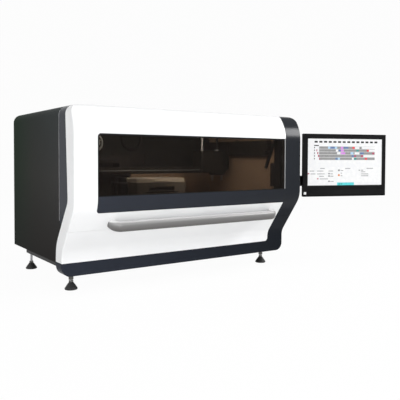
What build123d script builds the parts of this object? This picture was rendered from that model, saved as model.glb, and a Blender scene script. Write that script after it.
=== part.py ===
from build123d import *
import os
from math import acos, atan2, cos, degrees, hypot, radians, sin, sqrt, tan

# Bench-top immunoassay analyser with a lifting front lid, a pipetting robot and a side monitor.
# Millimetres. X runs along the front from left to right, Y to the rear, Z up from the floor.
# Every piece is drawn about the cabinet's centre plane, with Y from just behind the plinth's front,
# and the finished set is moved so that the origin is the centre of the bottom of its bounding box.

# Cabinet
cabinet_width = 1200
cabinet_rear = 632
roof_z = 761
side_bottom_z = 124
hood_radius = 40
sheet = 3
reveal = 1
parting_y = 16
parting_gap = 2
half_width = cabinet_width / 2

# Front outline, seen from the side: brow, face, waist, slant, hip, plinth
front_bulge = 136
plinth_front_y = -6
brow_height = 121
brow_z = roof_z - brow_height
brow_radius = 176
brow_edge_radius = 30
waist_z = 358
waist_radius = 115
hip_z = 172.6
hip_radius = 70
skin = 4
return_depth = 66
plinth_back_y = plinth_front_y + return_depth
front_edge_radius = 5
return_lean = 0.06

# Lid openings and seam
column_width = 103
left_band_width = 97
window_drop = 113
window_top_z = roof_z - window_drop
window_bottom_z = 400
strip_bottom_z = 334
opening_radius = 14
pane = 5
pane_overlap = 12
seam_z = 262
seam_y = -65
seam_rise = 20
seam_run = 60

# Plinth
plinth_bottom_z = 72
plinth_top_z = 127
plinth_corner_radius = 40
tongue_corner_radius = 18

# Base and feet
tray_flange = 25
skid_width = 38
skid_height = 15
skid_front_y = plinth_back_y + 7
skid_length = 383
foot_inset = 73
front_foot_y = 81
rear_foot_y = 600
pad_radius = 27
pad_height = 32
pad_rim = 5
stem_radius = 6
neck_radius = 8
nut_across_flats = 19
nut_height = 14
front_nut_z = 42
rear_nut_z = 80
boss_side = 34

# Lid frame and hinge
rib = 20
bar = 20
rear_bar = 9
pane_seal = 2
hinge_z = roof_z + 4
hinge_barrel_radius = 4
hinge_pin_radius = 2
running_clearance = 0.05
hinge_spacing = 400
knuckle = 20
knuckle_gap = 0.4
leaf_thickness = 2
leaf_depth = 30

# Handle
handle_left_inset = 162
handle_right_inset = 51
handle_foot_z = 301
handle_reach = 42
handle_height = 42
handle_depth = 30
handle_bend = 29
handle_corner = 13

# Gas struts
strut_inset = 40
strut_x = half_width - strut_inset
strut_base_y = 78
strut_base_z = roof_z - 256
strut_top_y = -26
strut_top_z = roof_z - 29
strut_tube_radius = 9
strut_bore_radius = 7
strut_rod_radius = 4
strut_pin_radius = 4
strut_eye_radius = 8
strut_eye_width = 10
strut_tube_start = 12
strut_tube_length = 153
strut_wall = 8
piston_start = 26
piston_length = 10
stud_clearance = 1.5

# Chassis, liner and deck
tube = 25
upright_front_y = 92
upright_rear_y = cabinet_rear - 2 * sheet - tube
rail_z = roof_z - 66
liner_sheet = 2
deck_top_z = 300
deck_front_y = -40

# Places of the deck modules, as shares of the cabinet's half width
rack_share = -0.733
reader_share = -0.333
incubator_share = -0.087
tip_share = 0.54
head_share = 0.66

# Robot
guide_width = 28
guide_height = 80
guide_z = roof_z - 196
guide_front_y = 55
guide_gap = 0.5
guide_nose = 30
guide_clearance = 3
bridge_y = 390
bridge_depth = 50
bridge_drop = 95
bridge_z = guide_z - bridge_drop
bridge_height = 34
rider_thickness = 10
rider_depth = 90
head_x = head_share * half_width
head_width = 150
head_height = 86
head_gap = 1.5
probe_offset = -62
gripper_offset = 40
spindle_radius = 7
spindle_length = 170
spindle_top_z = roof_z - 71
spindle_bottom_z = spindle_top_z - spindle_length
needle_radius = 2
needle_tip_z = spindle_bottom_z - 40
jaw_length = 30
jaw_spread = 42

# Monitor
monitor_gap = 60
monitor_left_x = half_width + monitor_gap
monitor_front_y = -96
monitor_yaw = 19.7
monitor_bottom_z = 353
screen_width = 442
screen_height = 249
bezel_side = 22
bezel_top = 24
bezel_chin = 54
bezel_depth = 16
monitor_width = screen_width + 2 * bezel_side
monitor_height = screen_height + bezel_top + bezel_chin
shell_depth = 34
shell_margin_x = 40
shell_margin_z = 46
arm_z = monitor_bottom_z + 79
arm_height = 54
arm_width = 40
arm_pivot_x = half_width + 52
arm_pivot_y = 6
post_radius = 17
post_reach = 36
tilt_radius = 9
tilt_barrel_radius = 13
tilt_gap = 1.5
tilt_width = 60
vesa_side = 116
button_side = 13


def across(x):
    """Plane square to X: its first axis is Y and its second is Z."""
    return Plane(origin=(x, 0, 0), x_dir=(0, 1, 0), z_dir=(1, 0, 0))


def upright(y):
    """Plane square to Y: its first axis is X and its second is Z, and it faces the front."""
    return Plane(origin=(0, y, 0), x_dir=(1, 0, 0), z_dir=(0, -1, 0))


def level(z):
    return Plane.XY.offset(z)


def block(x0, x1, y0, y1, z0, z1, mode=Mode.ADD):
    """A box between two corners, for use inside a part."""
    with Locations(((x0 + x1) / 2, (y0 + y1) / 2, (z0 + z1) / 2)):
        Box(x1 - x0, y1 - y0, z1 - z0, mode=mode)


def front_region(inset, back, bottom, brow=True):
    """Everything behind the front outline set in by inset, as a face of (Y, Z) values.

    Without the brow the outline runs up past the roof, leaning back a little.
    """
    run = front_bulge + plinth_front_y
    slant = degrees(atan2(run, waist_z - hip_z))
    half_turn = tan(radians(slant / 2))
    waist_shift = inset * half_turn
    waist = waist_radius - inset
    hip = hip_radius + inset
    waist_start = waist_z + waist_shift + waist * half_turn
    slant_length = hypot(run, waist_z - hip_z) - (waist + hip) * half_turn
    with BuildSketch() as region:
        with BuildLine():
            if brow:
                rise = roof_z - brow_edge_radius - brow_z
                reach = brow_radius - brow_edge_radius
                edge_y = brow_radius - front_bulge - sqrt(reach**2 - rise**2)
                edge_turn = degrees(acos(rise / reach))
                roof = Line((back, roof_z - inset), (edge_y, roof_z - inset))
                edge = JernArc(roof @ 1, roof % 1, brow_edge_radius - inset, edge_turn)
                arch = JernArc(edge @ 1, edge % 1, brow_radius - inset, 90 - edge_turn)
                face = Line(arch @ 1, (inset - front_bulge, waist_start))
                start = roof @ 0
            else:
                top = roof_z + hood_radius
                lean = (top - waist_start) * return_lean
                face = Line((inset - front_bulge + lean, top), (inset - front_bulge, waist_start))
                start = face @ 0 + Vector(back + front_bulge - inset - lean, 0)
                Line(start, face @ 0)
            bend = JernArc(face @ 1, (0, -1), waist, slant)
            ramp = Line(bend @ 1, bend @ 1 + (bend % 1) * slant_length)
            foot = JernArc(ramp @ 1, ramp % 1, hip, -slant)
            Polyline(foot @ 1, (plinth_front_y + inset, bottom), (back, bottom), start)
        make_face()
    return region.sketch


def hood_region(inset, bottom):
    """Inside of the cabinet's cross-section set in by inset, as a face of (X, Z) values."""
    height = roof_z - inset - bottom
    with BuildSketch() as region:
        with Locations((0, bottom + height / 2)):
            Rectangle(cabinet_width - 2 * inset, height)
        fillet(region.vertices().group_by(Axis.Y)[-1], hood_radius - inset)
    return region.sketch


def seam_height(y):
    return seam_z + (y - seam_y) * seam_rise / seam_run


def seam_region(offset, side):
    """All that lies above (side 1) or below (side -1) the lid's seam, as (Y, Z) values."""
    near = -2 * front_bulge
    far = 2 * front_bulge
    limit = 2 * roof_z if side > 0 else 0
    with BuildSketch() as region:
        with BuildLine():
            Polyline(
                (near, seam_height(near) + side * offset),
                (far, seam_height(far) + side * offset),
                (far, limit),
                (near, limit),
                close=True,
            )
        make_face()
    return region.sketch


def front_body(inset, back, edge_radius=0):
    """The cabinet's front end, set in by inset all round, from the roof to below the plinth."""
    with BuildPart() as front:
        with BuildSketch(across(inset - half_width)):
            add(front_region(inset, back, 0))
        extrude(amount=cabinet_width - 2 * inset)
        if edge_radius:
            outline = front.edges().group_by(Axis.X)
            for side in (outline[0], outline[-1]):
                ahead = side.sort_by(Axis.Y)[:-1].sort_by(Axis.Z)[1:]
                fillet(ahead, edge_radius)
        with BuildSketch(upright(back)):
            add(hood_region(inset, 0))
        extrude(amount=back + 2 * front_bulge, mode=Mode.INTERSECT)
    return front


def zone(x0, x1, z0, z1, radii):
    """A block right through the front, with the given corner radii in (X, Z)."""
    with BuildPart() as through:
        with BuildSketch(upright(2 * front_bulge)) as outline:
            with Locations(((x0 + x1) / 2, (z0 + z1) / 2)):
                Rectangle(x1 - x0, z1 - z0)
            for (right, top), radius in radii.items():
                side = outline.vertices().group_by(Axis.X)[-1 if right else 0]
                fillet(side.sort_by(Axis.Y)[-1 if top else 0], radius)
        extrude(amount=4 * front_bulge)
    return through.part


# The moulded front: one skin of even thickness that the covers are parted from
front_back = return_depth + parting_y
with BuildPart() as front_skin:
    add(front_body(0, front_back, front_edge_radius))
    add(front_body(skin, front_back + reveal), mode=Mode.SUBTRACT)

column_x = half_width - column_width
band_x = left_band_width - half_width

with BuildPart() as lid_space:
    with BuildSketch(across(-cabinet_width)):
        add(seam_region(reveal / 2, 1))
    extrude(amount=2 * cabinet_width)
    block(
        -cabinet_width, cabinet_width, parting_y - parting_gap / 2, cabinet_rear, 0, 2 * roof_z, Mode.SUBTRACT
    )

with BuildPart() as lower_space:
    with BuildSketch(across(-cabinet_width)):
        add(seam_region(reveal / 2, -1))
    extrude(amount=2 * cabinet_width)

with BuildPart() as behind_return:
    with BuildSketch(across(-cabinet_width)):
        add(front_region(return_depth, cabinet_rear, 0, brow=False))
    extrude(amount=2 * cabinet_width)

opening = zone(
    band_x, column_x, strip_bottom_z, window_top_z,
    {(False, True): opening_radius, (False, False): opening_radius},
)

# White lid cover: a C round the window, with a deep return on its left side
with BuildPart() as lid_cover:
    add(front_skin)
    add(lid_space, mode=Mode.INTERSECT)
    add(behind_return, mode=Mode.SUBTRACT)
    add(opening, mode=Mode.SUBTRACT)
    block(column_x - reveal / 2, cabinet_width, -cabinet_width, cabinet_width, 0, 2 * roof_z, Mode.SUBTRACT)

# Dark column at the right of the lid, with the strip that runs from it below the window
strip_zone = zone(
    band_x + reveal, column_x + reveal, strip_bottom_z + reveal, window_bottom_z,
    {(False, False): opening_radius - reveal},
)
with BuildPart() as strip:
    add(front_skin)
    add(strip_zone, mode=Mode.INTERSECT)

with BuildPart() as lid_column:
    add(front_skin)
    add(lid_space, mode=Mode.INTERSECT)
    add(behind_return, mode=Mode.SUBTRACT)
    block(-cabinet_width, column_x + reveal / 2, -cabinet_width, cabinet_width, 0, 2 * roof_z, Mode.SUBTRACT)
    add(strip)

# Dark hoop that closes the lid's sides and roof back to the parting line
with BuildPart() as lid_band:
    add(front_skin)
    add(lid_space, mode=Mode.INTERSECT)
    add(behind_return, mode=Mode.INTERSECT)

# Smoked pane, bonded behind the covers all round the opening
pane_zone = zone(
    band_x - pane_overlap, column_x + pane_overlap, window_bottom_z - pane_overlap,
    window_top_z + pane_overlap, {},
)
with BuildPart() as window:
    add(front_body(skin, parting_y))
    add(front_body(skin + pane, parting_y + reveal), mode=Mode.SUBTRACT)
    add(pane_zone, mode=Mode.INTERSECT)

# Lid frame: three bent ribs that follow the outline, and the bars welded between them
rib_places = (skin - half_width, column_x + reveal, half_width - skin - rib)
with BuildPart() as lid_ribs:
    for x in rib_places:
        with BuildSketch(across(x)):
            add(front_region(skin + pane, parting_y - parting_gap, 0))
            add(front_region(skin + pane + rib, cabinet_rear, 0), mode=Mode.SUBTRACT)
        extrude(amount=rib)
    with BuildSketch(upright(parting_y)):
        add(hood_region(skin, 0))
    extrude(amount=2 * front_bulge, mode=Mode.INTERSECT)
    add(lid_space, mode=Mode.INTERSECT)
    for side in (-1, 1):
        inner = side * (half_width - skin - rib)
        tip = side * (strut_x + strut_eye_width / 2 + stud_clearance)
        with BuildSketch(across(inner)):
            with Locations((strut_top_y, strut_top_z + bar / 4)):
                Rectangle(2 * bar, 1.3 * bar)
        extrude(amount=-side * sheet)
        with BuildSketch(across(inner)):
            with Locations((strut_top_y, strut_top_z)):
                Circle(strut_pin_radius + 1)
        extrude(amount=tip - inner)

bar_inset = skin + pane + pane_seal
bar_places = (
    (parting_y - parting_gap - bar, roof_z - skin - pane - rear_bar, rear_bar),
    (bar_inset - front_bulge, window_top_z + 10, bar),
    (bar_inset + 6 - front_bulge, window_bottom_z - 15 - bar, bar),
    (seam_y - 5, seam_z + 23, bar),
)
with BuildPart() as lid_crossbars:
    for bar_y, bar_z, height in bar_places:
        for start, end in zip(rib_places, rib_places[1:]):
            block(start + rib, end, bar_y, bar_y + bar, bar_z, bar_z + height)

# Bow handle, swept along its bent centre line, which stands square to the slanted cover
cover_slant = atan2(front_bulge + plinth_front_y, waist_z - hip_z)
handle_foot_y = (waist_z - handle_foot_z) * tan(cover_slant) - front_bulge
handle_up = Vector(0, sin(cover_slant), -cos(cover_slant))
handle_path_left = handle_left_inset - half_width + handle_depth / 2
handle_path_right = column_x - handle_right_inset - handle_depth / 2
with BuildPart() as handle:
    with BuildLine(Plane(origin=(0, handle_foot_y, handle_foot_z), x_dir=(1, 0, 0), z_dir=handle_up)) as bow:
        FilletPolyline(
            (handle_path_left, -handle_depth),
            (handle_path_left, handle_reach),
            (handle_path_right, handle_reach),
            (handle_path_right, -handle_depth),
            radius=handle_bend,
        )
    with BuildSketch(Plane(origin=bow.line @ 0, x_dir=handle_up, z_dir=bow.line % 0)):
        RectangleRounded(handle_height, handle_depth, handle_corner)
    sweep()
    add(front_body(0, parting_y), mode=Mode.SUBTRACT)

# White panel below the seam, and the dark frame that is both lower column and plinth
tongue = zone(
    -cabinet_width, column_x, plinth_top_z, seam_z + 2 * return_depth,
    {(True, False): tongue_corner_radius},
)
with BuildPart() as front_panel:
    add(front_skin)
    add(lower_space, mode=Mode.INTERSECT)
    add(behind_return, mode=Mode.SUBTRACT)
    add(zone(
        -cabinet_width, column_x - reveal, plinth_top_z + reveal, seam_z + 2 * return_depth,
        {(True, False): tongue_corner_radius - reveal},
    ), mode=Mode.INTERSECT)



def plinth_body(wall, edge_radius=0):
    """The plinth as a solid, set in by wall, with its sides and underside rounded at the front."""
    with BuildPart() as plinth_solid:
        with BuildSketch(upright(plinth_back_y)) as section:
            with Locations((0, (plinth_bottom_z + wall + plinth_top_z) / 2)):
                Rectangle(cabinet_width - 2 * wall, plinth_top_z - plinth_bottom_z - wall)
            fillet(section.vertices().group_by(Axis.Y)[0], plinth_corner_radius - wall)
        extrude(amount=return_depth - wall)
        if edge_radius:
            fillet(plinth_solid.faces().sort_by(Axis.Y)[0].edges().sort_by(Axis.Z)[:-1], edge_radius)
    return plinth_solid


with BuildPart() as front_frame:
    add(front_skin)
    add(lower_space, mode=Mode.INTERSECT)
    add(behind_return, mode=Mode.SUBTRACT)
    add(tongue, mode=Mode.SUBTRACT)
    block(-cabinet_width, cabinet_width, -front_bulge, cabinet_rear, -roof_z, plinth_top_z, Mode.SUBTRACT)
    add(plinth_body(0, front_edge_radius))
    add(plinth_body(skin), mode=Mode.SUBTRACT)

# Upright plates behind the front panel that join it and the plinth to the base tray
bracket_thickness = 6
bracket_top_z = 240
bracket_places = (
    skin - half_width, column_x - reveal / 2 - bracket_thickness / 2, half_width - skin - bracket_thickness
)
with BuildPart() as front_brackets:
    for x in bracket_places:
        with BuildSketch(across(x)):
            add(front_region(skin, plinth_back_y, side_bottom_z))
            with Locations((0, side_bottom_z)):
                Rectangle(
                    4 * return_depth, bracket_top_z - side_bottom_z,
                    align=(Align.CENTER, Align.MIN), mode=Mode.INTERSECT,
                )
        extrude(amount=bracket_thickness)

# Side panels, cut to follow the white return and the lid's parting line
panel_top_z = roof_z - hood_radius
with BuildSketch() as lid_side:
    add(seam_region(-reveal / 2, 1))
    with Locations((parting_y + parting_gap / 2, 0)):
        Rectangle(4 * roof_z, 4 * roof_z, align=(Align.MAX, Align.CENTER), mode=Mode.INTERSECT)

with BuildPart() as side_panels:
    for side in (-1, 1):
        with BuildSketch(across(side * half_width)):
            add(front_region(return_depth + reveal, cabinet_rear, side_bottom_z, brow=False))
            add(lid_side, mode=Mode.SUBTRACT)
            with Locations((cabinet_rear, side_bottom_z)):
                Rectangle(
                    2 * cabinet_rear, panel_top_z - side_bottom_z,
                    align=(Align.MAX, Align.MIN), mode=Mode.INTERSECT,
                )
        extrude(amount=-side * sheet)

# Roof sheet, bent down over both sides
with BuildPart() as roof_cover:
    with BuildSketch(upright(cabinet_rear)):
        add(hood_region(0, panel_top_z))
        add(hood_region(sheet, panel_top_z - sheet), mode=Mode.SUBTRACT)
    extrude(amount=cabinet_rear - parting_y - parting_gap / 2)

# Rear panel with louvres, fan opening and connector cut-outs
fan_x = -360
fan_z = 560
fan_radius = 56
inlet_x = 430
inlet_z = 190
inlet_width = 48
inlet_height = 28
switch_x = inlet_x - 60
switch_width = 20
switch_height = 28
port_x = 250
port_pitch = 26
port_width = 16
port_height = 14
louvre_length = 110
louvre_height = 5
louvre_pitch = 14
louvre_rows = 9
louvre_columns = (-120, 60, 240)
louvre_z = 500
with BuildPart() as rear_panel:
    with BuildSketch(upright(cabinet_rear)):
        add(hood_region(sheet + reveal / 2, side_bottom_z))
        with Locations((fan_x, fan_z)):
            Circle(fan_radius, mode=Mode.SUBTRACT)
        with Locations((inlet_x, inlet_z)):
            Rectangle(inlet_width, inlet_height, mode=Mode.SUBTRACT)
        with Locations((switch_x, inlet_z)):
            Rectangle(switch_width, switch_height, mode=Mode.SUBTRACT)
        with Locations((port_x, inlet_z)):
            with GridLocations(port_pitch, 1, 3, 1):
                Rectangle(port_width, port_height, mode=Mode.SUBTRACT)
        for x in louvre_columns:
            with Locations((x, louvre_z)):
                with GridLocations(1, louvre_pitch, 1, louvre_rows):
                    Rectangle(louvre_length, louvre_height, mode=Mode.SUBTRACT)
    extrude(amount=sheet)

# Fan behind its hole, with a wire guard outside
guard_wire = 2
fan_depth = 25
fan_side = 120
fan_hub_radius = 20
rear_inner = cabinet_rear - sheet
with BuildPart() as fan:
    with BuildSketch(upright(rear_inner)):
        with Locations((fan_x, fan_z)):
            RectangleRounded(fan_side, fan_side, 6)
            Circle(fan_radius, mode=Mode.SUBTRACT)
    extrude(amount=fan_depth)
    with BuildSketch(upright(rear_inner - 4)):
        with Locations((fan_x, fan_z)):
            Circle(fan_hub_radius)
            with PolarLocations(0, 4):
                with Locations((fan_radius / 2 + 2, 0)):
                    Rectangle(fan_radius, 5)
    extrude(amount=fan_depth - 8)

with BuildPart() as fan_guard:
    with BuildSketch(upright(cabinet_rear + guard_wire)):
        with Locations((fan_x, fan_z)):
            for ring in range(1, 5):
                radius = ring * fan_radius / 4 + 1
                Circle(radius + guard_wire / 2)
                Circle(radius - guard_wire / 2, mode=Mode.SUBTRACT)
            with PolarLocations(0, 4):
                with Locations(((fan_radius + 6) / 2, 0)):
                    Rectangle(fan_radius + 6, guard_wire)
            with PolarLocations(fan_radius + 4, 4):
                Circle(4)
    extrude(amount=guard_wire)

# Mains inlet with its recess and three blades, rocker switch and data sockets
inlet_rim = 3
inlet_depth = 22
switch_wall = 2
rocker_clearance = 0.4
rocker_stub = 2
rocker_pivot = (switch_x, cabinet_rear - 6, inlet_z)
with BuildPart() as power_inlet:
    with BuildSketch(upright(cabinet_rear + guard_wire)):
        with Locations((inlet_x, inlet_z)):
            RectangleRounded(inlet_width + 2 * inlet_rim, inlet_height + 2 * inlet_rim, inlet_rim)
    extrude(amount=guard_wire)
    with BuildSketch(upright(cabinet_rear)):
        with Locations((inlet_x, inlet_z)):
            Rectangle(inlet_width, inlet_height)
    extrude(amount=inlet_depth)
    with BuildSketch(upright(cabinet_rear + guard_wire)):
        with Locations((inlet_x, inlet_z)):
            Rectangle(27, 19)
    extrude(amount=inlet_depth - inlet_rim, mode=Mode.SUBTRACT)
    with BuildSketch(upright(cabinet_rear - 2)):
        with Locations((inlet_x - 7, inlet_z - 2), (inlet_x, inlet_z + 3), (inlet_x + 7, inlet_z - 2)):
            Rectangle(2, 4)
    extrude(amount=inlet_depth - 5)

    with BuildSketch(upright(cabinet_rear + guard_wire)):
        with Locations((switch_x, inlet_z)):
            RectangleRounded(switch_width + 2 * inlet_rim, switch_height + 2 * inlet_rim, inlet_rim)
            Rectangle(switch_width - 2 * switch_wall, switch_height - 2 * switch_wall, mode=Mode.SUBTRACT)
    extrude(amount=guard_wire)
    with BuildSketch(upright(cabinet_rear)):
        with Locations((switch_x, inlet_z)):
            Rectangle(switch_width, switch_height)
            Rectangle(switch_width - 2 * switch_wall, switch_height - 2 * switch_wall, mode=Mode.SUBTRACT)
    extrude(amount=inlet_depth)
    with Locations(Plane(origin=rocker_pivot, x_dir=(0, 1, 0), z_dir=(1, 0, 0))):
        Cylinder(rocker_stub + running_clearance, switch_width - switch_wall / 2, mode=Mode.SUBTRACT)

rocker_length = switch_height - 2 * switch_wall - 2 * rocker_clearance
with BuildPart() as mains_rocker:
    with BuildSketch(across(switch_x - switch_width / 2 + switch_wall + rocker_clearance)):
        with BuildLine():
            top = (cabinet_rear + 3, inlet_z + rocker_length / 2 - 2)
            low = (cabinet_rear + 3, inlet_z - rocker_length / 2 + 2)
            Polyline(low, (cabinet_rear - 9, inlet_z - 4), (cabinet_rear - 9, inlet_z + 4), top)
            ThreePointArc(top, (cabinet_rear + 1, inlet_z), low)
        make_face()
    extrude(amount=switch_width - 2 * switch_wall - 2 * rocker_clearance)
    with Locations(Plane(origin=rocker_pivot, x_dir=(0, 1, 0), z_dir=(1, 0, 0))):
        Cylinder(rocker_stub, switch_width - switch_wall)

with BuildPart() as data_ports:
    for k in (-1, 0, 1):
        with BuildSketch(upright(cabinet_rear)):
            with Locations((port_x + k * port_pitch, inlet_z)):
                Rectangle(port_width, port_height)
                Rectangle(port_width - 3, port_height - 3, mode=Mode.SUBTRACT)
        extrude(amount=inlet_depth / 2)

# Base tray, skids and the square bosses that the feet screw into
tray_half = half_width - sheet
with BuildPart() as base_tray:
    block(-tray_half, tray_half, plinth_back_y, rear_inner, side_bottom_z, side_bottom_z + tray_flange)
    block(
        sheet - tray_half, tray_half - sheet, plinth_back_y + sheet, rear_inner - sheet,
        side_bottom_z + sheet, side_bottom_z + 2 * tray_flange, Mode.SUBTRACT,
    )

foot_x = half_width - foot_inset
foot_places = [(x, y) for x in (-foot_x, foot_x) for y in (front_foot_y, rear_foot_y)]


def nut_bottom(y):
    return front_nut_z if y == front_foot_y else rear_nut_z


with BuildPart() as skids:
    for side in (-1, 1):
        outer = side * (half_width - 2)
        inner = side * (half_width - 2 - skid_width)
        block(
            min(outer, inner), max(outer, inner), skid_front_y, skid_front_y + skid_length,
            side_bottom_z - skid_height, side_bottom_z,
        )
    for x, y in foot_places:
        block(
            x - boss_side / 2, x + boss_side / 2, y - boss_side / 2 + 4, y + boss_side / 2 + 4,
            nut_bottom(y) + nut_height, side_bottom_z,
        )
        with Locations((x, y, 0)):
            Cylinder(
                stem_radius, side_bottom_z, align=(Align.CENTER, Align.CENTER, Align.MIN), mode=Mode.SUBTRACT
            )

with BuildPart() as foot_pads:
    for x, y in foot_places:
        with BuildSketch(Plane(origin=(x, y, 0), x_dir=(1, 0, 0), z_dir=(0, -1, 0))):
            with BuildLine():
                Line((0, 0), (pad_radius - 2, 0))
                Line((pad_radius - 2, 0), (pad_radius, 2))
                Line((pad_radius, 2), (pad_radius, pad_rim))
                flare = ThreePointArc(
                    (pad_radius, pad_rim), (pad_radius * 0.7, pad_height * 0.55), (neck_radius, pad_height)
                )
                Line(flare @ 1, (0, pad_height))
                Line((0, pad_height), (0, 0))
            make_face()
        revolve(axis=Axis((x, y, 0), (0, 0, 1)))

with BuildPart() as foot_stems:
    for x, y in foot_places:
        with Locations((x, y, pad_height)):
            Cylinder(
                stem_radius, side_bottom_z - pad_height, align=(Align.CENTER, Align.CENTER, Align.MIN)
            )

with BuildPart() as foot_nuts:
    for x, y in foot_places:
        with BuildSketch(Plane(origin=(x, y, nut_bottom(y)))):
            RegularPolygon(nut_across_flats / 2, 6, major_radius=False)
            Circle(stem_radius, mode=Mode.SUBTRACT)
        extrude(amount=nut_height)

# Welded tube chassis, light inner liner and deck
frame_half = tray_half - sheet
tray_top_z = side_bottom_z + sheet
with BuildPart() as chassis_frame:
    for side in (-1, 1):
        x0 = min(side * frame_half, side * (frame_half - tube))
        for y in (upright_front_y, upright_rear_y):
            block(x0, x0 + tube, y, y + tube, tray_top_z, rail_z)
        block(x0, x0 + tube, upright_front_y, upright_rear_y + tube, rail_z, rail_z + tube)
        block(
            x0, x0 + tube, upright_front_y + tube, upright_rear_y,
            deck_top_z - sheet - tube, deck_top_z - sheet,
        )
    inner = frame_half - tube
    for z in (deck_top_z - sheet - tube, rail_z):
        block(-inner, inner, upright_rear_y, upright_rear_y + tube, z, z + tube)
    block(
        -inner, inner, upright_front_y, upright_front_y + tube,
        deck_top_z - sheet - tube, deck_top_z - sheet,
    )

liner_half = frame_half - tube
with BuildPart() as liner_walls:
    for side in (-1, 1):
        x0 = min(side * liner_half, side * (liner_half - liner_sheet))
        block(x0, x0 + liner_sheet, upright_front_y, upright_rear_y, deck_top_z, rail_z)
    block(
        liner_sheet - liner_half, liner_half - liner_sheet, upright_rear_y - liner_sheet, upright_rear_y,
        deck_top_z, rail_z,
    )

with BuildPart() as deck_plate:
    block(-liner_half, liner_half, deck_front_y, upright_rear_y, deck_top_z - sheet, deck_top_z)

# Deck modules
incubator_x = incubator_share * half_width
incubator_y = 230
incubator_width = 276
incubator_depth = 200
incubator_top_z = 436
slot_count = 3
slot_width = 140
slot_height = 20
tray_depth = 18
well_pitch = 9
well_side = 6.2
plate_length = 127.8
plate_width = 85.5
plate_shift = 66
plate_places = [(incubator_x + side * plate_shift, incubator_y) for side in (-1, 1)]
with BuildPart() as incubator:
    with BuildSketch(level(deck_top_z)):
        with Locations((incubator_x, incubator_y)):
            RectangleRounded(incubator_width, incubator_depth, 8)
    extrude(amount=incubator_top_z - deck_top_z)
    for k in range(slot_count):
        slot_z = deck_top_z + slot_height * (1.2 + 1.8 * k)
        block(
            incubator_x - slot_width / 2, incubator_x + slot_width / 2, incubator_y - incubator_depth / 2 - 1,
            incubator_y + incubator_depth / 2 - 20, slot_z, slot_z + slot_height, Mode.SUBTRACT,
        )

with BuildPart() as plate_tray:
    with BuildSketch(level(incubator_top_z)):
        with Locations((incubator_x, incubator_y)):
            RectangleRounded(incubator_width - 6, incubator_depth - 20, 8)
    extrude(amount=tray_depth)
    with BuildSketch(level(incubator_top_z + tray_depth)):
        with Locations(*plate_places):
            RectangleRounded(plate_width + 32, plate_length + 22, 4)
    extrude(amount=-tray_depth + 4, mode=Mode.SUBTRACT)

plate_height = 14
with BuildPart() as microplates:
    with BuildSketch(level(incubator_top_z + 4)):
        with Locations(*plate_places):
            Rectangle(plate_width, plate_length)
    extrude(amount=plate_height)
    with BuildSketch(level(incubator_top_z + 4 + plate_height)):
        with Locations(*plate_places):
            with GridLocations(well_pitch, well_pitch, 8, 12):
                Rectangle(well_side, well_side)
    extrude(amount=-plate_height + 3, mode=Mode.SUBTRACT)

reader_x = reader_share * half_width
reader_width = 290
reader_front_y = 436
reader_depth = 146
reader_top_z = 560
reader_slot = 150
with BuildPart() as reader_module:
    with BuildSketch(level(deck_top_z)):
        with Locations((reader_x, reader_front_y + reader_depth / 2)):
            RectangleRounded(reader_width, reader_depth, 10)
    extrude(amount=reader_top_z - deck_top_z)
    block(
        reader_x - reader_slot / 2, reader_x + reader_slot / 2, reader_front_y - 1,
        reader_front_y + reader_depth / 2, reader_top_z - 60, reader_top_z - 36, Mode.SUBTRACT,
    )

rack_x = rack_share * half_width
rack_y = 275
rack_width = 24
rack_pitch = 34
rack_count = 5
rack_length = 250
rack_height = 62
tube_radius = 6.5
tube_count = 10
tube_pitch = 24
with BuildPart() as sample_racks:
    for k in range(rack_count):
        x = rack_x + (k - (rack_count - 1) / 2) * rack_pitch
        block(
            x - rack_width / 2, x + rack_width / 2, rack_y - rack_length / 2, rack_y + rack_length / 2,
            deck_top_z, deck_top_z + rack_height,
        )
        with BuildSketch(level(deck_top_z + rack_height)):
            with Locations((x, rack_y)):
                with GridLocations(1, tube_pitch, 1, tube_count):
                    RegularPolygon(tube_radius, 8, major_radius=False)
        extrude(amount=6 - rack_height, mode=Mode.SUBTRACT)

tube_top_z = 385
with BuildPart() as sample_tubes:
    for k in range(rack_count):
        x = rack_x + (k - (rack_count - 1) / 2) * rack_pitch
        with BuildSketch(level(deck_top_z + 6)):
            with Locations((x, rack_y)):
                with GridLocations(1, tube_pitch, 1, tube_count):
                    RegularPolygon(tube_radius - 0.5, 8, major_radius=False)
        extrude(amount=tube_top_z - deck_top_z - 6)

bottle_radius = 26
bottle_x = incubator_x - incubator_width / 2 - bottle_radius - 10
bottle_places = ((bottle_x, 200), (bottle_x, 262))
cap_radius = 20
cap_height = 22
bottle_top_z = 438
with BuildPart() as wash_bottles:
    for x, y in bottle_places:
        with Locations((x, y, deck_top_z)):
            Cylinder(bottle_radius, bottle_top_z - deck_top_z, align=(Align.CENTER, Align.CENTER, Align.MIN))
    fillet(wash_bottles.edges().filter_by(GeomType.CIRCLE).group_by(Axis.Z)[-1], 8)
    for x, y in bottle_places:
        with BuildSketch(Plane(origin=(x, y, bottle_top_z))):
            RegularPolygon(cap_radius, 16)
        extrude(amount=cap_height)


tip_x = tip_share * half_width
tip_y = 195
tip_rack_height = 66
tip_hole = 9
tip_gap = 6
with BuildPart() as tip_racks:
    with BuildSketch(level(deck_top_z)):
        with Locations((tip_x, tip_y)):
            with GridLocations(plate_length + tip_gap, plate_width + tip_gap, 3, 2):
                RectangleRounded(plate_length, plate_width, 4)
    extrude(amount=tip_rack_height)
    with BuildSketch(level(deck_top_z + tip_rack_height)):
        with Locations((tip_x, tip_y)):
            with GridLocations(plate_length + tip_gap, plate_width + tip_gap, 3, 2):
                with GridLocations(18, 18, 6, 4):
                    Rectangle(tip_hole, tip_hole)
    extrude(amount=-40, mode=Mode.SUBTRACT)

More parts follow.
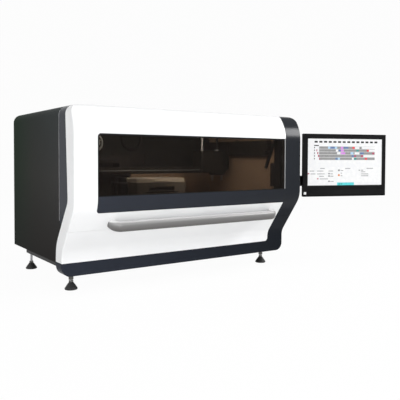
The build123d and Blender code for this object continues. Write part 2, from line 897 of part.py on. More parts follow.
# Robot guides along both walls, each a beam with a round-ended belt housing under it
guide_outer = strut_x - strut_tube_radius - guide_clearance
guide_inner = guide_outer - guide_width
guide_back_y = upright_rear_y - liner_sheet
lobe_height = 26
standoff_places = (guide_front_y + 100, guide_front_y + 290, guide_back_y - 55)
with BuildPart() as guides:
    for side in (-1, 1):
        near = min(side * guide_outer, side * guide_inner)
        block(
            near, near + guide_width, guide_front_y - guide_nose, guide_back_y,
            guide_z + lobe_height, guide_z + guide_height,
        )
        with BuildSketch(across(near)):
            with Locations(((guide_front_y + guide_back_y) / 2, guide_z + lobe_height / 2)):
                Rectangle(guide_back_y - guide_front_y, lobe_height)
            with Locations((guide_front_y, guide_z + lobe_height / 2)):
                Circle(lobe_height / 2)
        extrude(amount=guide_width)
        wall = side * (liner_half - liner_sheet)
        for y in standoff_places:
            block(
                min(wall, side * guide_outer), max(wall, side * guide_outer), y, y + 40,
                guide_z + lobe_height, guide_z + guide_height - 10,
            )

# Bridge beam with a rider at each end, sliding front to back
rail_depth = 4
bridge_front = bridge_y - bridge_depth / 2
rider_inner = guide_inner - guide_gap - rider_thickness
with BuildPart() as bridge:
    with BuildSketch(upright(bridge_front + bridge_depth)):
        with Locations((0, bridge_z + bridge_height / 2)):
            SlotOverall(2 * guide_inner - 2 * guide_gap, bridge_height)
    extrude(amount=bridge_depth)
    for side in (-1, 1):
        x0 = min(side * rider_inner, side * (rider_inner + rider_thickness))
        block(
            x0, x0 + rider_thickness, bridge_y - rider_depth / 2, bridge_y + rider_depth / 2 - 20,
            bridge_z + bridge_height / 2, guide_z + guide_height - 10,
        )
    block(
        -rider_inner, rider_inner, bridge_front - rail_depth, bridge_front,
        bridge_z + bridge_height / 2 - rail_depth, bridge_z + bridge_height / 2 + rail_depth,
    )

# Pipetting head that slides along the bridge, with a probe spindle and a gripper spindle
head_back = bridge_front + bridge_depth + head_gap
apron = 24
apron_z = bridge_z + 4
head_front = bridge_front - rail_depth - head_gap - apron
head_floor = bridge_z + bridge_height + head_gap
head_top = head_floor + head_height
spindle_y = head_front + apron / 2
spindle_clearance = 0.3


def spindle_hole(x):
    with Locations((x, spindle_y, head_floor)):
        Cylinder(spindle_radius + spindle_clearance, 4 * head_height, mode=Mode.SUBTRACT)


with BuildPart() as head:
    with BuildSketch(across(head_x - head_width / 2)):
        with BuildLine():
            Polyline(
                (head_back, head_floor), (head_back, head_top), (head_front, head_top), (head_front, apron_z),
                (head_front + apron, apron_z), (head_front + apron, head_floor), close=True,
            )
        make_face()
    extrude(amount=head_width)
    fillet(head.edges().filter_by(Axis.X).group_by(Axis.Z)[-1], 10)
    spindle_hole(head_x + probe_offset)
    spindle_hole(head_x + gripper_offset)

with BuildPart() as probe:
    with Locations((head_x + probe_offset, spindle_y, spindle_bottom_z)):
        Cylinder(spindle_radius, spindle_length, align=(Align.CENTER, Align.CENTER, Align.MIN))
    with Locations((head_x + probe_offset, spindle_y, spindle_bottom_z)):
        Cone(
            needle_radius, spindle_radius, 2 * spindle_radius, align=(Align.CENTER, Align.CENTER, Align.MAX)
        )
    with Locations((head_x + probe_offset, spindle_y, needle_tip_z)):
        Cylinder(
            needle_radius, spindle_bottom_z - needle_tip_z - spindle_radius,
            align=(Align.CENTER, Align.CENTER, Align.MIN),
        )

gripper_x = head_x + gripper_offset
gripper_top_z = bridge_z + 3
jaw_slot = 6
gripper_height = 16
with BuildPart() as gripper:
    with Locations((gripper_x, spindle_y, gripper_top_z)):
        Cylinder(spindle_radius, spindle_top_z - gripper_top_z, align=(Align.CENTER, Align.CENTER, Align.MIN))
    block(
        gripper_x - jaw_spread - 4, gripper_x + jaw_spread + 4, spindle_y - 11, spindle_y + 11,
        gripper_top_z - gripper_height, gripper_top_z,
    )
    block(
        gripper_x - jaw_spread - 5, gripper_x + jaw_spread + 5,
        spindle_y - jaw_slot / 2, spindle_y + jaw_slot / 2,
        gripper_top_z - gripper_height - 1, gripper_top_z - gripper_height / 2, Mode.SUBTRACT,
    )

jaw_travel = 12
jaw_clearance = 0.3
jaw_top_z = gripper_top_z - gripper_height - jaw_clearance


def jaw(side):
    x = gripper_x + side * (jaw_spread - jaw_travel)
    with BuildPart() as finger:
        block(
            x - 5, x + 5, spindle_y - jaw_slot / 2 + jaw_clearance, spindle_y + jaw_slot / 2 - jaw_clearance,
            jaw_top_z - 1, gripper_top_z - 8 - jaw_clearance,
        )
        block(x - 5, x + 5, spindle_y - 9, spindle_y + 9, jaw_top_z - 2, jaw_top_z)
        block(
            min(x, x + side * 4), max(x, x + side * 4), spindle_y - 9, spindle_y + 9,
            jaw_top_z - jaw_length, jaw_top_z,
        )
    return finger


left_jaw = jaw(-1)
right_jaw = jaw(1)

# Wash station that the resting probe dips into
station_radius = 16
station_bore = 9
station_height = 44
station_floor = 6
with BuildPart() as wash_station:
    with Locations((head_x + probe_offset, spindle_y, deck_top_z)):
        Cylinder(station_radius, station_height, align=(Align.CENTER, Align.CENTER, Align.MIN))
    with Locations((head_x + probe_offset, spindle_y, deck_top_z + station_floor)):
        Cylinder(
            station_bore, station_height, mode=Mode.SUBTRACT, align=(Align.CENTER, Align.CENTER, Align.MIN)
        )

# Power supply in the closed base
supply_x = half_width - 190
supply_y = 460
supply_width = 220
supply_depth = 200
supply_height = 70
with BuildPart() as power_supply:
    block(
        supply_x - supply_width / 2, supply_x + supply_width / 2,
        supply_y - supply_depth / 2, supply_y + supply_depth / 2, tray_top_z, tray_top_z + supply_height,
    )

# Lid interlock on the right wall, just behind the lid's rib
interlock_z = strut_base_z - 100
interlock_height = 122
interlock_width = 34
interlock_inset = 10
interlock_front_y = -36
interlock_back_y = 40
with BuildPart() as interlock:
    block(
        half_width - interlock_inset - interlock_width, half_width - interlock_inset,
        interlock_front_y, interlock_back_y, interlock_z, interlock_z + interlock_height,
    )
    block(
        half_width - interlock_inset, half_width - sheet, parting_y + 3, interlock_back_y + 35,
        interlock_z + 5, strut_base_z - 25,
    )

# Hinges on the roof at the parting line
hinge_places = (-hinge_spacing, 0, hinge_spacing)


def hinge_leaf(side):
    """The leaf behind the pin (side 1) has the two outer knuckles, the one ahead has the middle one."""
    tab = hinge_barrel_radius + parting_gap
    with BuildPart() as leaf:
        for x in hinge_places:
            near = parting_y + side * tab
            far = parting_y + side * (parting_gap + leaf_depth)
            block(
                x - 1.5 * knuckle, x + 1.5 * knuckle, min(near, far), max(near, far),
                roof_z, roof_z + leaf_thickness,
            )
            rolls = (-knuckle, knuckle) if side > 0 else (0,)
            for shift in rolls:
                start = x + shift - knuckle / 2 + knuckle_gap / 2
                with BuildSketch(across(start)):
                    with Locations((parting_y, hinge_z)):
                        Circle(hinge_barrel_radius)
                    with Locations((parting_y + side * tab / 2, roof_z + leaf_thickness / 2)):
                        Rectangle(tab, leaf_thickness)
                    if side < 0:
                        with Locations((parting_y, hinge_z)):
                            Circle(hinge_pin_radius + running_clearance, mode=Mode.SUBTRACT)
                extrude(amount=knuckle - knuckle_gap)
            if side > 0:
                with BuildSketch(across(x - 1.5 * knuckle - reveal)):
                    with Locations((parting_y, hinge_z)):
                        Circle(hinge_pin_radius)
                extrude(amount=3 * knuckle + 2 * reveal)
    return leaf


hinge_fixed_leaves = hinge_leaf(1)
hinge_lid_leaves = hinge_leaf(-1)

# Gas struts: tube with a bored eye, rod with piston, and the pins they turn on
strut_span = hypot(strut_top_y - strut_base_y, strut_top_z - strut_base_z)
strut_way = Vector(0, (strut_top_y - strut_base_y) / strut_span, (strut_top_z - strut_base_z) / strut_span)


def strut_plane(side, distance):
    """Plane square to the strut, at a distance from its lower eye."""
    base = Vector(side * strut_x, strut_base_y, strut_base_z)
    return Plane(origin=base + strut_way * distance, x_dir=(1, 0, 0), z_dir=strut_way)


def strut_tube(side):
    with BuildPart() as cylinder:
        with BuildSketch(strut_plane(side, strut_tube_start)):
            Circle(strut_tube_radius)
        extrude(amount=strut_tube_length)
        with BuildSketch(strut_plane(side, strut_tube_start + strut_wall)):
            Circle(strut_bore_radius)
        extrude(amount=strut_tube_length - 2 * strut_wall, mode=Mode.SUBTRACT)
        with BuildSketch(strut_plane(side, strut_tube_start + strut_tube_length)):
            Circle(strut_rod_radius + running_clearance)
        extrude(amount=-2 * strut_wall, mode=Mode.SUBTRACT)
        with BuildSketch(across(side * strut_x - strut_eye_width / 2)):
            with Locations((strut_base_y, strut_base_z)):
                Circle(strut_eye_radius)
        extrude(amount=strut_eye_width)
        with BuildSketch(strut_plane(side, 0)):
            Rectangle(strut_eye_width, 1.4 * strut_eye_radius)
        extrude(amount=strut_tube_start)
        with BuildSketch(across(side * strut_x - strut_eye_width)):
            with Locations((strut_base_y, strut_base_z)):
                Circle(strut_pin_radius + running_clearance)
        extrude(amount=2 * strut_eye_width, mode=Mode.SUBTRACT)
    return cylinder


def strut_rod(side):
    with BuildPart() as rod:
        with BuildSketch(strut_plane(side, piston_start)):
            Circle(strut_bore_radius - running_clearance)
        extrude(amount=piston_length)
        with BuildSketch(strut_plane(side, piston_start)):
            Circle(strut_rod_radius)
        extrude(amount=strut_span - strut_pin_radius - 2.5 - piston_start)
        with BuildSketch(across(side * strut_x - strut_eye_width / 2)):
            with Locations((strut_top_y, strut_top_z)):
                Circle(strut_eye_radius)
                Circle(strut_pin_radius + 1, mode=Mode.SUBTRACT)
        extrude(amount=strut_eye_width)
    return rod


left_strut_tube = strut_tube(-1)
right_strut_tube = strut_tube(1)
left_strut_rod = strut_rod(-1)
right_strut_rod = strut_rod(1)

with BuildPart() as strut_brackets:
    for side in (-1, 1):
        wall = side * (half_width - sheet)
        with BuildSketch(across(wall)):
            with Locations((strut_base_y - 20, strut_base_z)):
                RectangleRounded(60, 40, 6)
        extrude(amount=-side * sheet)
        with BuildSketch(across(wall)):
            with Locations((strut_base_y, strut_base_z)):
                Circle(strut_pin_radius)
        extrude(amount=-side * (half_width - sheet - strut_x + strut_eye_width))
        with BuildSketch(across(side * (strut_x - strut_eye_width / 2 - 0.5))):
            with Locations((strut_base_y, strut_base_z)):
                Circle(strut_pin_radius + 2.5)
        extrude(amount=-side * 3)

# Monitor arm, post and tilting display
monitor_dir = Vector(cos(radians(monitor_yaw)), -sin(radians(monitor_yaw)), 0)
monitor_back = Vector(sin(radians(monitor_yaw)), cos(radians(monitor_yaw)), 0)
monitor_corner = Vector(monitor_left_x, monitor_front_y, 0)
monitor_mid = monitor_corner + monitor_dir * (monitor_width / 2)
monitor_mid_z = monitor_bottom_z + monitor_height / 2
plate_depth = bezel_depth + shell_depth
tilt_depth = plate_depth + sheet + tilt_barrel_radius + tilt_gap
post_setback = tilt_depth + post_reach
post_centre = monitor_mid + monitor_back * post_setback
arm_pivot = Vector(arm_pivot_x, arm_pivot_y, 0)
arm_reach = post_centre - arm_pivot


def display(depth):
    """Plane parallel to the screen at a depth behind the bezel's face; it faces the rear."""
    origin = monitor_mid + monitor_back * depth + Vector(0, 0, monitor_mid_z)
    return Plane(origin=origin, x_dir=-monitor_dir, z_dir=monitor_back)


tilt_plane = Plane(origin=display(tilt_depth).origin, x_dir=(0, 0, 1), z_dir=monitor_dir)
pivot_plate = 5
pivot_radius = 10
arm_bottom_z = arm_z - arm_height / 2
with BuildPart() as monitor_bracket:
    block(
        half_width, half_width + 8, arm_pivot_y + 24, arm_pivot_y + 104,
        arm_z - arm_height, arm_z + arm_height,
    )
    for z in (arm_bottom_z - reveal / 2 - pivot_plate, arm_bottom_z + arm_height + reveal / 2):
        with BuildSketch(level(z)):
            with BuildLine():
                Polyline(
                    (half_width, arm_pivot_y + 100), (half_width, arm_pivot_y + 26),
                    (arm_pivot_x - 14, arm_pivot_y - 14), (arm_pivot_x + 14, arm_pivot_y - 14),
                    (arm_pivot_x + 14, arm_pivot_y + 14), close=True,
                )
            make_face()
            with Locations((arm_pivot_x, arm_pivot_y)):
                Circle(20)
        extrude(amount=pivot_plate)
    with Locations((arm_pivot_x, arm_pivot_y, arm_bottom_z - pivot_plate)):
        Cylinder(pivot_radius, arm_height + 2 * pivot_plate, align=(Align.CENTER, Align.CENTER, Align.MIN))

with BuildPart() as monitor_arm:
    with BuildSketch(Plane(origin=arm_pivot + Vector(0, 0, arm_bottom_z), x_dir=arm_reach, z_dir=(0, 0, 1))):
        with Locations((arm_reach.length / 2, 0)):
            SlotCenterToCenter(arm_reach.length, arm_width)
        Circle(pivot_radius + running_clearance, mode=Mode.SUBTRACT)
        with Locations((arm_reach.length, 0)):
            Circle(pivot_radius + running_clearance, mode=Mode.SUBTRACT)
    extrude(amount=arm_height)

post_top_z = monitor_mid_z + 16
with BuildPart() as monitor_post:
    with Locations((post_centre.X, post_centre.Y, arm_bottom_z)):
        Cylinder(pivot_radius, arm_height, align=(Align.CENTER, Align.CENTER, Align.MIN))
    with Locations((post_centre.X, post_centre.Y, arm_bottom_z + arm_height + reveal / 2)):
        Cylinder(
            post_radius, post_top_z - arm_bottom_z - arm_height - reveal / 2,
            align=(Align.CENTER, Align.CENTER, Align.MIN),
        )
    with Locations((post_centre.X, post_centre.Y, arm_bottom_z + arm_height)):
        Cylinder(pivot_radius, 2 * reveal, align=(Align.CENTER, Align.CENTER, Align.MIN))
    with BuildSketch(display(tilt_depth)):
        Rectangle(tilt_width, 2 * tilt_barrel_radius)
    extrude(amount=post_reach)
    with Locations(tilt_plane):
        Cylinder(tilt_barrel_radius, tilt_width)
        Cylinder(tilt_radius + running_clearance, tilt_width + 2, mode=Mode.SUBTRACT)

ear = 6
with BuildPart() as tilt_yoke:
    with BuildSketch(display(plate_depth)):
        RectangleRounded(vesa_side, vesa_side, 6)
    extrude(amount=sheet)
    for side in (-1, 1):
        with BuildSketch(display(plate_depth)):
            with Locations((side * (tilt_width / 2 + ear / 2 + reveal / 2), 0)):
                Rectangle(ear, 2 * tilt_barrel_radius)
        extrude(amount=tilt_depth - plate_depth)
    with Locations(tilt_plane):
        Cylinder(tilt_radius, tilt_width + 2 * ear + reveal)
    for side in (-1, 1):
        with Locations(tilt_plane.offset(side * (tilt_width / 2 + ear / 2 + reveal / 2))):
            Cylinder(tilt_barrel_radius, ear)

screen_z = monitor_height / 2 - bezel_top - screen_height / 2
button_x = monitor_width / 2 - 11
button_z = 18 - monitor_height / 2
with BuildPart() as monitor_bezel:
    with BuildSketch(display(0)):
        RectangleRounded(monitor_width, monitor_height, 4)
        with Locations((0, screen_z)):
            Rectangle(screen_width, screen_height, mode=Mode.SUBTRACT)
        with Locations((button_x, button_z)):
            Rectangle(button_side + 0.6, button_side + 0.6, mode=Mode.SUBTRACT)
    extrude(amount=bezel_depth)

with BuildPart() as monitor_screen:
    with BuildSketch(display(reveal)):
        with Locations((0, screen_z)):
            Rectangle(screen_width, screen_height)
    extrude(amount=bezel_depth - reveal)

with BuildPart() as monitor_shell:
    with BuildSketch(display(bezel_depth)):
        RectangleRounded(monitor_width - 6, monitor_height - 6, 6)
    with BuildSketch(display(bezel_depth + shell_depth)):
        RectangleRounded(monitor_width - 2 * shell_margin_x, monitor_height - 2 * shell_margin_z, 20)
    loft()

with BuildPart() as monitor_button:
    with BuildSketch(display(-1.5)):
        with Locations((button_x, button_z)):
            RectangleRounded(button_side, button_side, 2)
    extrude(amount=bezel_depth - 2)

pieces = {
    "base_tray": base_tray,
    "skids": skids,
    "foot_pads": foot_pads,
    "foot_stems": foot_stems,
    "foot_nuts": foot_nuts,
    "front_frame": front_frame,
    "front_panel": front_panel,
    "front_brackets": front_brackets,
    "side_panels": side_panels,
    "roof_cover": roof_cover,
    "rear_panel": rear_panel,
    "fan": fan,
    "fan_guard": fan_guard,
    "power_inlet": power_inlet,
    "mains_rocker": mains_rocker,
    "data_ports": data_ports,
    "chassis_frame": chassis_frame,
    "liner_walls": liner_walls,
    "deck_plate": deck_plate,
    "incubator": incubator,
    "plate_tray": plate_tray,
    "microplates": microplates,
    "reader_module": reader_module,
    "sample_racks": sample_racks,
    "sample_tubes": sample_tubes,
    "wash_bottles": wash_bottles,
    "tip_racks": tip_racks,
    "guides": guides,
    "bridge": bridge,
    "head": head,
    "probe": probe,
    "gripper": gripper,
    "left_jaw": left_jaw,
    "right_jaw": right_jaw,
    "wash_station": wash_station,
    "power_supply": power_supply,
    "interlock": interlock,
    "hinge_fixed_leaves": hinge_fixed_leaves,
    "hinge_lid_leaves": hinge_lid_leaves,
    "lid_cover": lid_cover,
    "lid_column": lid_column,
    "lid_band": lid_band,
    "window": window,
    "lid_ribs": lid_ribs,
    "lid_crossbars": lid_crossbars,
    "handle": handle,
    "left_strut_tube": left_strut_tube,
    "right_strut_tube": right_strut_tube,
    "left_strut_rod": left_strut_rod,
    "right_strut_rod": right_strut_rod,
    "strut_brackets": strut_brackets,
    "monitor_bracket": monitor_bracket,
    "monitor_arm": monitor_arm,
    "monitor_post": monitor_post,
    "tilt_yoke": tilt_yoke,
    "monitor_bezel": monitor_bezel,
    "monitor_screen": monitor_screen,
    "monitor_shell": monitor_shell,
    "monitor_button": monitor_button,
}

boxes = [piece.part.bounding_box() for piece in pieces.values()]
low_x = min(box.min.X for box in boxes)
high_x = max(box.max.X for box in boxes)
low_y = min(box.min.Y for box in boxes)
high_y = max(box.max.Y for box in boxes)
to_origin = Location((-(low_x + high_x) / 2, -(low_y + high_y) / 2, 0))
print("moved by", to_origin.position)

os.makedirs("parts", exist_ok=True)
for label, piece in pieces.items():
    placed = piece.part.moved(to_origin)
    placed.label = label
    export_step(placed, f"parts/{label}.step")
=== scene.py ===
import math

import bmesh
import bpy
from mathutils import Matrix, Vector


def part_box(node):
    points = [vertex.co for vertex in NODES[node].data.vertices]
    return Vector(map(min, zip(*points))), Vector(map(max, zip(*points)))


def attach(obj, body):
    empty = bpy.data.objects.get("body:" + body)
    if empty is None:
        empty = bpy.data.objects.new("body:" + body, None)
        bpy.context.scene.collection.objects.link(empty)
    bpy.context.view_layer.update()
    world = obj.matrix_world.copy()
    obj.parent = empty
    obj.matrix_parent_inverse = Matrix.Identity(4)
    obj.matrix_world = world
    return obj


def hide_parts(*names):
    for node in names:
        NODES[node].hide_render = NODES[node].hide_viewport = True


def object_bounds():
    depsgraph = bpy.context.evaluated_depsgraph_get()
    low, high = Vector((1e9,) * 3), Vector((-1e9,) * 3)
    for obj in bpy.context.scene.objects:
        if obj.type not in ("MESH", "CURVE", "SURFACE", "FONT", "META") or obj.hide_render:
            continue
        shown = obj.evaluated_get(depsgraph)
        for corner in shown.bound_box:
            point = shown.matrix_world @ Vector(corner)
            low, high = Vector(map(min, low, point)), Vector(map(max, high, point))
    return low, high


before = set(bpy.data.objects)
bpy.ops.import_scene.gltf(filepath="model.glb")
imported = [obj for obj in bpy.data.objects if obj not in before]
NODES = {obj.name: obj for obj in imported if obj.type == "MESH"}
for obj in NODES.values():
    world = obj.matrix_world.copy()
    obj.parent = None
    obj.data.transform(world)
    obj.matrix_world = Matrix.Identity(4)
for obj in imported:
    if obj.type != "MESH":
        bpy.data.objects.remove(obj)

CAD_LOW, CAD_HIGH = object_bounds()

# Places are given in millimetres from the cabinet's centre plane, from the plane CABINET_REAR in
# front of the rear panel's outside, and from the floor. SHIFT takes them to the row frame in metres.
CABINET_REAR = 632
PANEL_LOW, PANEL_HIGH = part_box("side_panels")
REAR_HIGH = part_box("rear_panel")[1]
SHIFT = Vector(((PANEL_LOW.x + PANEL_HIGH.x) / 2, REAR_HIGH.y - CABINET_REAR / 1000, 0))


def mm(x, y, z):
    return Vector((x, y, z)) / 1000 + SHIFT


def node_box(name):
    """A node's lowest and highest corners at rest, in millimetres about the cabinet."""
    low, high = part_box(name)
    return (Vector(low) - SHIFT) * 1000, (Vector(high) - SHIFT) * 1000


# Camera
CAMERA_PLACE = (-1386.52, -2079.81, 554.91)
CAMERA_YAW = -35.11
CAMERA_PITCH = -1.74
CAMERA_ROLL = -0.19
FOCAL_PIXELS = 542.16
HORIZON_PIXEL = 173.94
FRAME_PIXELS = 400
SENSOR_WIDTH = 36
CLIP_NEAR, CLIP_FAR = 0.05, 100

camera_data = bpy.data.cameras.new("camera")
camera = bpy.data.objects.new("camera", camera_data)
bpy.context.scene.collection.objects.link(camera)
bpy.context.scene.camera = camera
camera.location = mm(*CAMERA_PLACE)
camera.rotation_euler = [math.radians(turn) for turn in (90 + CAMERA_PITCH, CAMERA_ROLL, CAMERA_YAW)]
camera_data.sensor_width = SENSOR_WIDTH
camera_data.lens = FOCAL_PIXELS / FRAME_PIXELS * SENSOR_WIDTH
camera_data.shift_y = HORIZON_PIXEL / FRAME_PIXELS - 0.5
camera_data.clip_start = CLIP_NEAR
camera_data.clip_end = CLIP_FAR


# Materials
NOISE_LOW, NOISE_HIGH = 0.3, 0.7
NOISE_ROUGHNESS = 0.55
GRAIN_DETAIL = 2


def grey(level):
    return (level, level, level)


class Shader:
    """A node material built from a Principled shader and a few fields in object space."""

    def __init__(self, name):
        self.material = bpy.data.materials.new(name)
        self.material.use_nodes = True
        self.tree = self.material.node_tree
        self.shader = self.tree.nodes["Principled BSDF"]
        self.coords = self.tree.nodes.new("ShaderNodeTexCoord").outputs["Object"]

    def node(self, kind, **values):
        made = self.tree.nodes.new("ShaderNode" + kind)
        for key, value in values.items():
            if key in made.inputs:
                made.inputs[key].default_value = value
            else:
                setattr(made, key, value)
        return made

    def link(self, out, into):
        self.tree.links.new(out, into)

    def noise(self, scale, stretch=(1, 1, 1), detail=3):
        mapping = self.node("Mapping", Scale=stretch)
        self.link(self.coords, mapping.inputs["Vector"])
        field = self.node("TexNoise", Scale=scale, Detail=detail, Roughness=NOISE_ROUGHNESS)
        self.link(mapping.outputs["Vector"], field.inputs["Vector"])
        return field.outputs["Fac"]

    def along(self, axis, start, end):
        """0 at start to 1 at end along an axis, both in millimetres about the cabinet."""
        split = self.node("SeparateXYZ")
        self.link(self.coords, split.inputs["Vector"])
        near, far = (mm(place, place, place)["XYZ".index(axis)] for place in (start, end))
        return self.scaled(split.outputs[axis], 0, 1, near, far)

    def ramp(self, field, *stops):
        """A colour ramp with stops of (position, colour)."""
        ramp = self.node("ValToRGB")
        for k, (place, colour) in enumerate(stops):
            spot = ramp.color_ramp.elements[k] if k < 2 else ramp.color_ramp.elements.new(place)
            spot.position = place
            spot.color = (*colour, 1)
        self.link(field, ramp.inputs["Fac"])
        return ramp.outputs["Color"]

    def scaled(self, field, low, high, start=NOISE_LOW, end=NOISE_HIGH):
        """A field's span from start to end laid on the span from low to high."""
        spread = self.node("MapRange")
        for key, value in (("From Min", start), ("From Max", end), ("To Min", low), ("To Max", high)):
            spread.inputs[key].default_value = value
        self.link(field, spread.inputs["Value"])
        return spread.outputs["Result"]

    def mottled(self, low, high, scale, stretch=(1, 1, 1)):
        """A colour that drifts between low and high with a soft noise."""
        return self.ramp(self.noise(scale, stretch), (NOISE_LOW, low), (NOISE_HIGH, high))

    def product(self, first, second):
        mix = self.node("MixRGB", blend_type="MULTIPLY")
        mix.inputs["Fac"].default_value = 1
        self.link(first, mix.inputs["Color1"])
        self.link(second, mix.inputs["Color2"])
        return mix.outputs["Color"]

    def bump(self, field, strength, distance):
        bump = self.node("Bump", Strength=strength, Distance=distance)
        self.link(field, bump.inputs["Height"])
        self.link(bump.outputs["Normal"], self.shader.inputs["Normal"])

    def finish(
        self, rough, grain=0.0, grain_scale=900, grain_stretch=(1, 1, 1), grain_depth=0.0002, **values
    ):
        """Roughness that varies with a fine grain, the grain's bump, and the shader's other values."""
        fine = self.noise(grain_scale, grain_stretch, detail=GRAIN_DETAIL)
        self.link(self.scaled(fine, *rough), self.shader.inputs["Roughness"])
        if grain:
            self.bump(fine, grain, grain_depth)
        for key, value in values.items():
            self.shader.inputs[key.replace("_", " ")].default_value = value
        return self.material


def shade(name, low, high, rough, scale=8, stretch=(1, 1, 1), **values):
    """A plain material whose colour drifts a little between low and high."""
    made = Shader(name)
    made.link(made.mottled(low, high, scale, stretch), made.shader.inputs["Base Color"])
    return made.finish(rough, **values)


PAINT = {"grain": 0.05, "grain_scale": 420, "grain_depth": 0.0003}
POWDER = {"grain": 0.15, "grain_scale": 1200}
MOULDED = {"grain": 0.12, "grain_scale": 1100}
SHEET = {"grain": 0.02, "grain_scale": 300, "Specular_IOR_Level": 0.1}
ANODISED = {"grain": 0.12, "grain_scale": 800, "Metallic": 0.2, "Specular_IOR_Level": 0.2}


def slate():
    """Slate-blue satin paint with painted shade that darkens it towards the right, and duller low down and
    at the left edge.
    """
    made = Shader("slate_gloss")
    # Painted shade: the base colour darkens about threefold from the left edge to the right.
    across = made.along("X", -600, 600)
    width = made.ramp(across, (0.0, (0.026, 0.030, 0.041)), (1.0, (0.009, 0.011, 0.015)))
    blotch = made.mottled(grey(0.92), grey(1.0), 4)
    made.link(made.product(width, blotch), made.shader.inputs["Base Color"])
    upper = made.scaled(made.along("Z", 290, 350), 0.04, 0.13, 0, 1)
    inner = made.scaled(made.along("X", -575, -500), 0.35, 1, 0, 1)
    made.link(made.product(upper, inner), made.shader.inputs["Specular IOR Level"])
    return made.finish((0.17, 0.23), **PAINT)


def handle_satin():
    """Satin metal of the bow handle, with a painted highlight along its upper edge and painted shade lower
    down.
    """
    made = Shader("handle_satin")
    # Painted light by height: a painted highlight along the upper edge and painted shade towards the
    # underside.
    height = made.ramp(
        made.along("Z", 258, 297),
        (0.0, (0.11, 0.105, 0.102)), (0.55, (0.185, 0.182, 0.18)),
        (0.88, (0.30, 0.298, 0.296)), (1.0, grey(0.80)),
    )
    brushing = made.mottled(grey(0.93), grey(1.0), 3, (1, 8, 8))
    made.link(made.product(height, brushing), made.shader.inputs["Base Color"])
    return made.finish((0.38, 0.46), Metallic=0.35, Specular_IOR_Level=0.4, grain=0.04, grain_scale=900)


WHITE = shade("white_gloss", (0.80, 0.805, 0.81), (0.835, 0.84, 0.845), (0.28, 0.36), scale=3,
              Specular_IOR_Level=0.4, Coat_Weight=0.2, **PAINT)
SLATE = slate()
SHEET_DARK = shade("dark_sheet", (0.020, 0.022, 0.021), (0.026, 0.027, 0.026), (0.46, 0.58), scale=5,
                   Specular_IOR_Level=0.25, **POWDER)
BASE = shade("base_steel", grey(0.022), (0.032, 0.032, 0.031), (0.45, 0.6), scale=9,
             Specular_IOR_Level=0.12, **POWDER)
FRAME = shade("frame_steel", (0.030, 0.030, 0.032), (0.042, 0.042, 0.045), (0.45, 0.6), scale=9, **SHEET)
LINER = shade("liner_steel", (0.42, 0.29, 0.195), (0.47, 0.33, 0.225), (0.45, 0.55), scale=6, **SHEET)
COVER = shade("rear_cover", (0.024, 0.027, 0.025), (0.034, 0.038, 0.036), (0.45, 0.55), scale=7, **SHEET)
VENT = shade("vent_plastic", (0.86, 0.85, 0.83), (0.92, 0.91, 0.89), (0.35, 0.45), scale=20)
HANDLE = handle_satin()
GUIDE = shade("guide_anodised", (0.022, 0.019, 0.016), (0.032, 0.028, 0.024), (0.34, 0.46), scale=4,
              stretch=(6, 1, 6), grain_stretch=(1, 0.04, 1), **ANODISED)
BRIDGE = shade("bridge_anodised", (0.026, 0.024, 0.022), (0.038, 0.035, 0.031), (0.32, 0.44), scale=4,
               stretch=(1, 6, 6), grain_stretch=(0.04, 1, 1), **ANODISED)
CHROME = shade("rod_chrome", (0.66, 0.66, 0.67), (0.74, 0.74, 0.75), (0.08, 0.14), scale=12, Metallic=1.0)
BRIGHT = shade("bright_steel", (0.42, 0.42, 0.43), (0.54, 0.54, 0.55), (0.26, 0.38), scale=20, Metallic=1.0,
               grain=0.08, grain_scale=1500)
ZINC = shade("dull_zinc", (0.085, 0.083, 0.078), (0.13, 0.127, 0.12), (0.34, 0.48), scale=40, Metallic=0.8,
             grain=0.15, grain_scale=1500)
BLACK = shade("black_plastic", (0.012, 0.012, 0.013), (0.018, 0.018, 0.019), (0.45, 0.58), scale=20,
              Specular_IOR_Level=0.3, grain=0.2, grain_scale=1600)
RUBBER = shade("foot_rubber", grey(0.016), grey(0.026), (0.50, 0.65), scale=30,
               Specular_IOR_Level=0.35, grain=0.2, grain_scale=1200)
MODULE = shade("module_plastic", (0.21, 0.18, 0.145), (0.26, 0.225, 0.185), (0.42, 0.55), **MOULDED)
CREAM = shade("cream_plastic", (0.84, 0.74, 0.60), (0.90, 0.80, 0.66), (0.40, 0.52), **MOULDED)
HEAD = shade("head_grey", (0.020, 0.018, 0.016), (0.030, 0.027, 0.024), (0.40, 0.52), **MOULDED)
BOTTLE = shade("bottle_plastic", (0.018, 0.019, 0.022), (0.026, 0.027, 0.030), (0.25, 0.36), scale=16,
               grain=0.08, grain_scale=700)
PLATE = shade("plate_plastic", (0.74, 0.70, 0.63), (0.82, 0.78, 0.70), (0.20, 0.3), scale=30,
              Coat_Weight=0.2)
RACK = shade("rack_plastic", (0.035, 0.065, 0.14), (0.048, 0.082, 0.17), (0.40, 0.52), scale=18, **MOULDED)
TUBE = shade("tube_plastic", (0.45, 0.42, 0.36), (0.58, 0.56, 0.52), (0.16, 0.25), scale=40,
             Coat_Weight=0.2)
CAP = shade("cap_plastic", (0.30, 0.035, 0.030), (0.36, 0.045, 0.038), (0.35, 0.45), scale=40, **MOULDED)
TIP = shade("tip_plastic", (0.62, 0.60, 0.54), (0.70, 0.68, 0.63), (0.22, 0.32), scale=40)
MONITOR = shade("monitor_black", (0.005, 0.005, 0.0055), (0.008, 0.008, 0.0085), (0.40, 0.50), scale=12,
                Specular_IOR_Level=0.06, grain=0.15, grain_scale=1500)
CHIN = shade("chin_satin", (0.005, 0.005, 0.0055), (0.010, 0.0105, 0.011), (0.28, 0.38), scale=3,
             stretch=(1, 1, 4), Specular_IOR_Level=0.07, grain=0.06, grain_scale=1500)
BUTTON = shade("button_white", grey(0.74), grey(0.80), (0.35, 0.45), scale=60)
BORDER = shade("pane_border", grey(0.006), grey(0.009), (0.12, 0.18), Specular_IOR_Level=0.15)
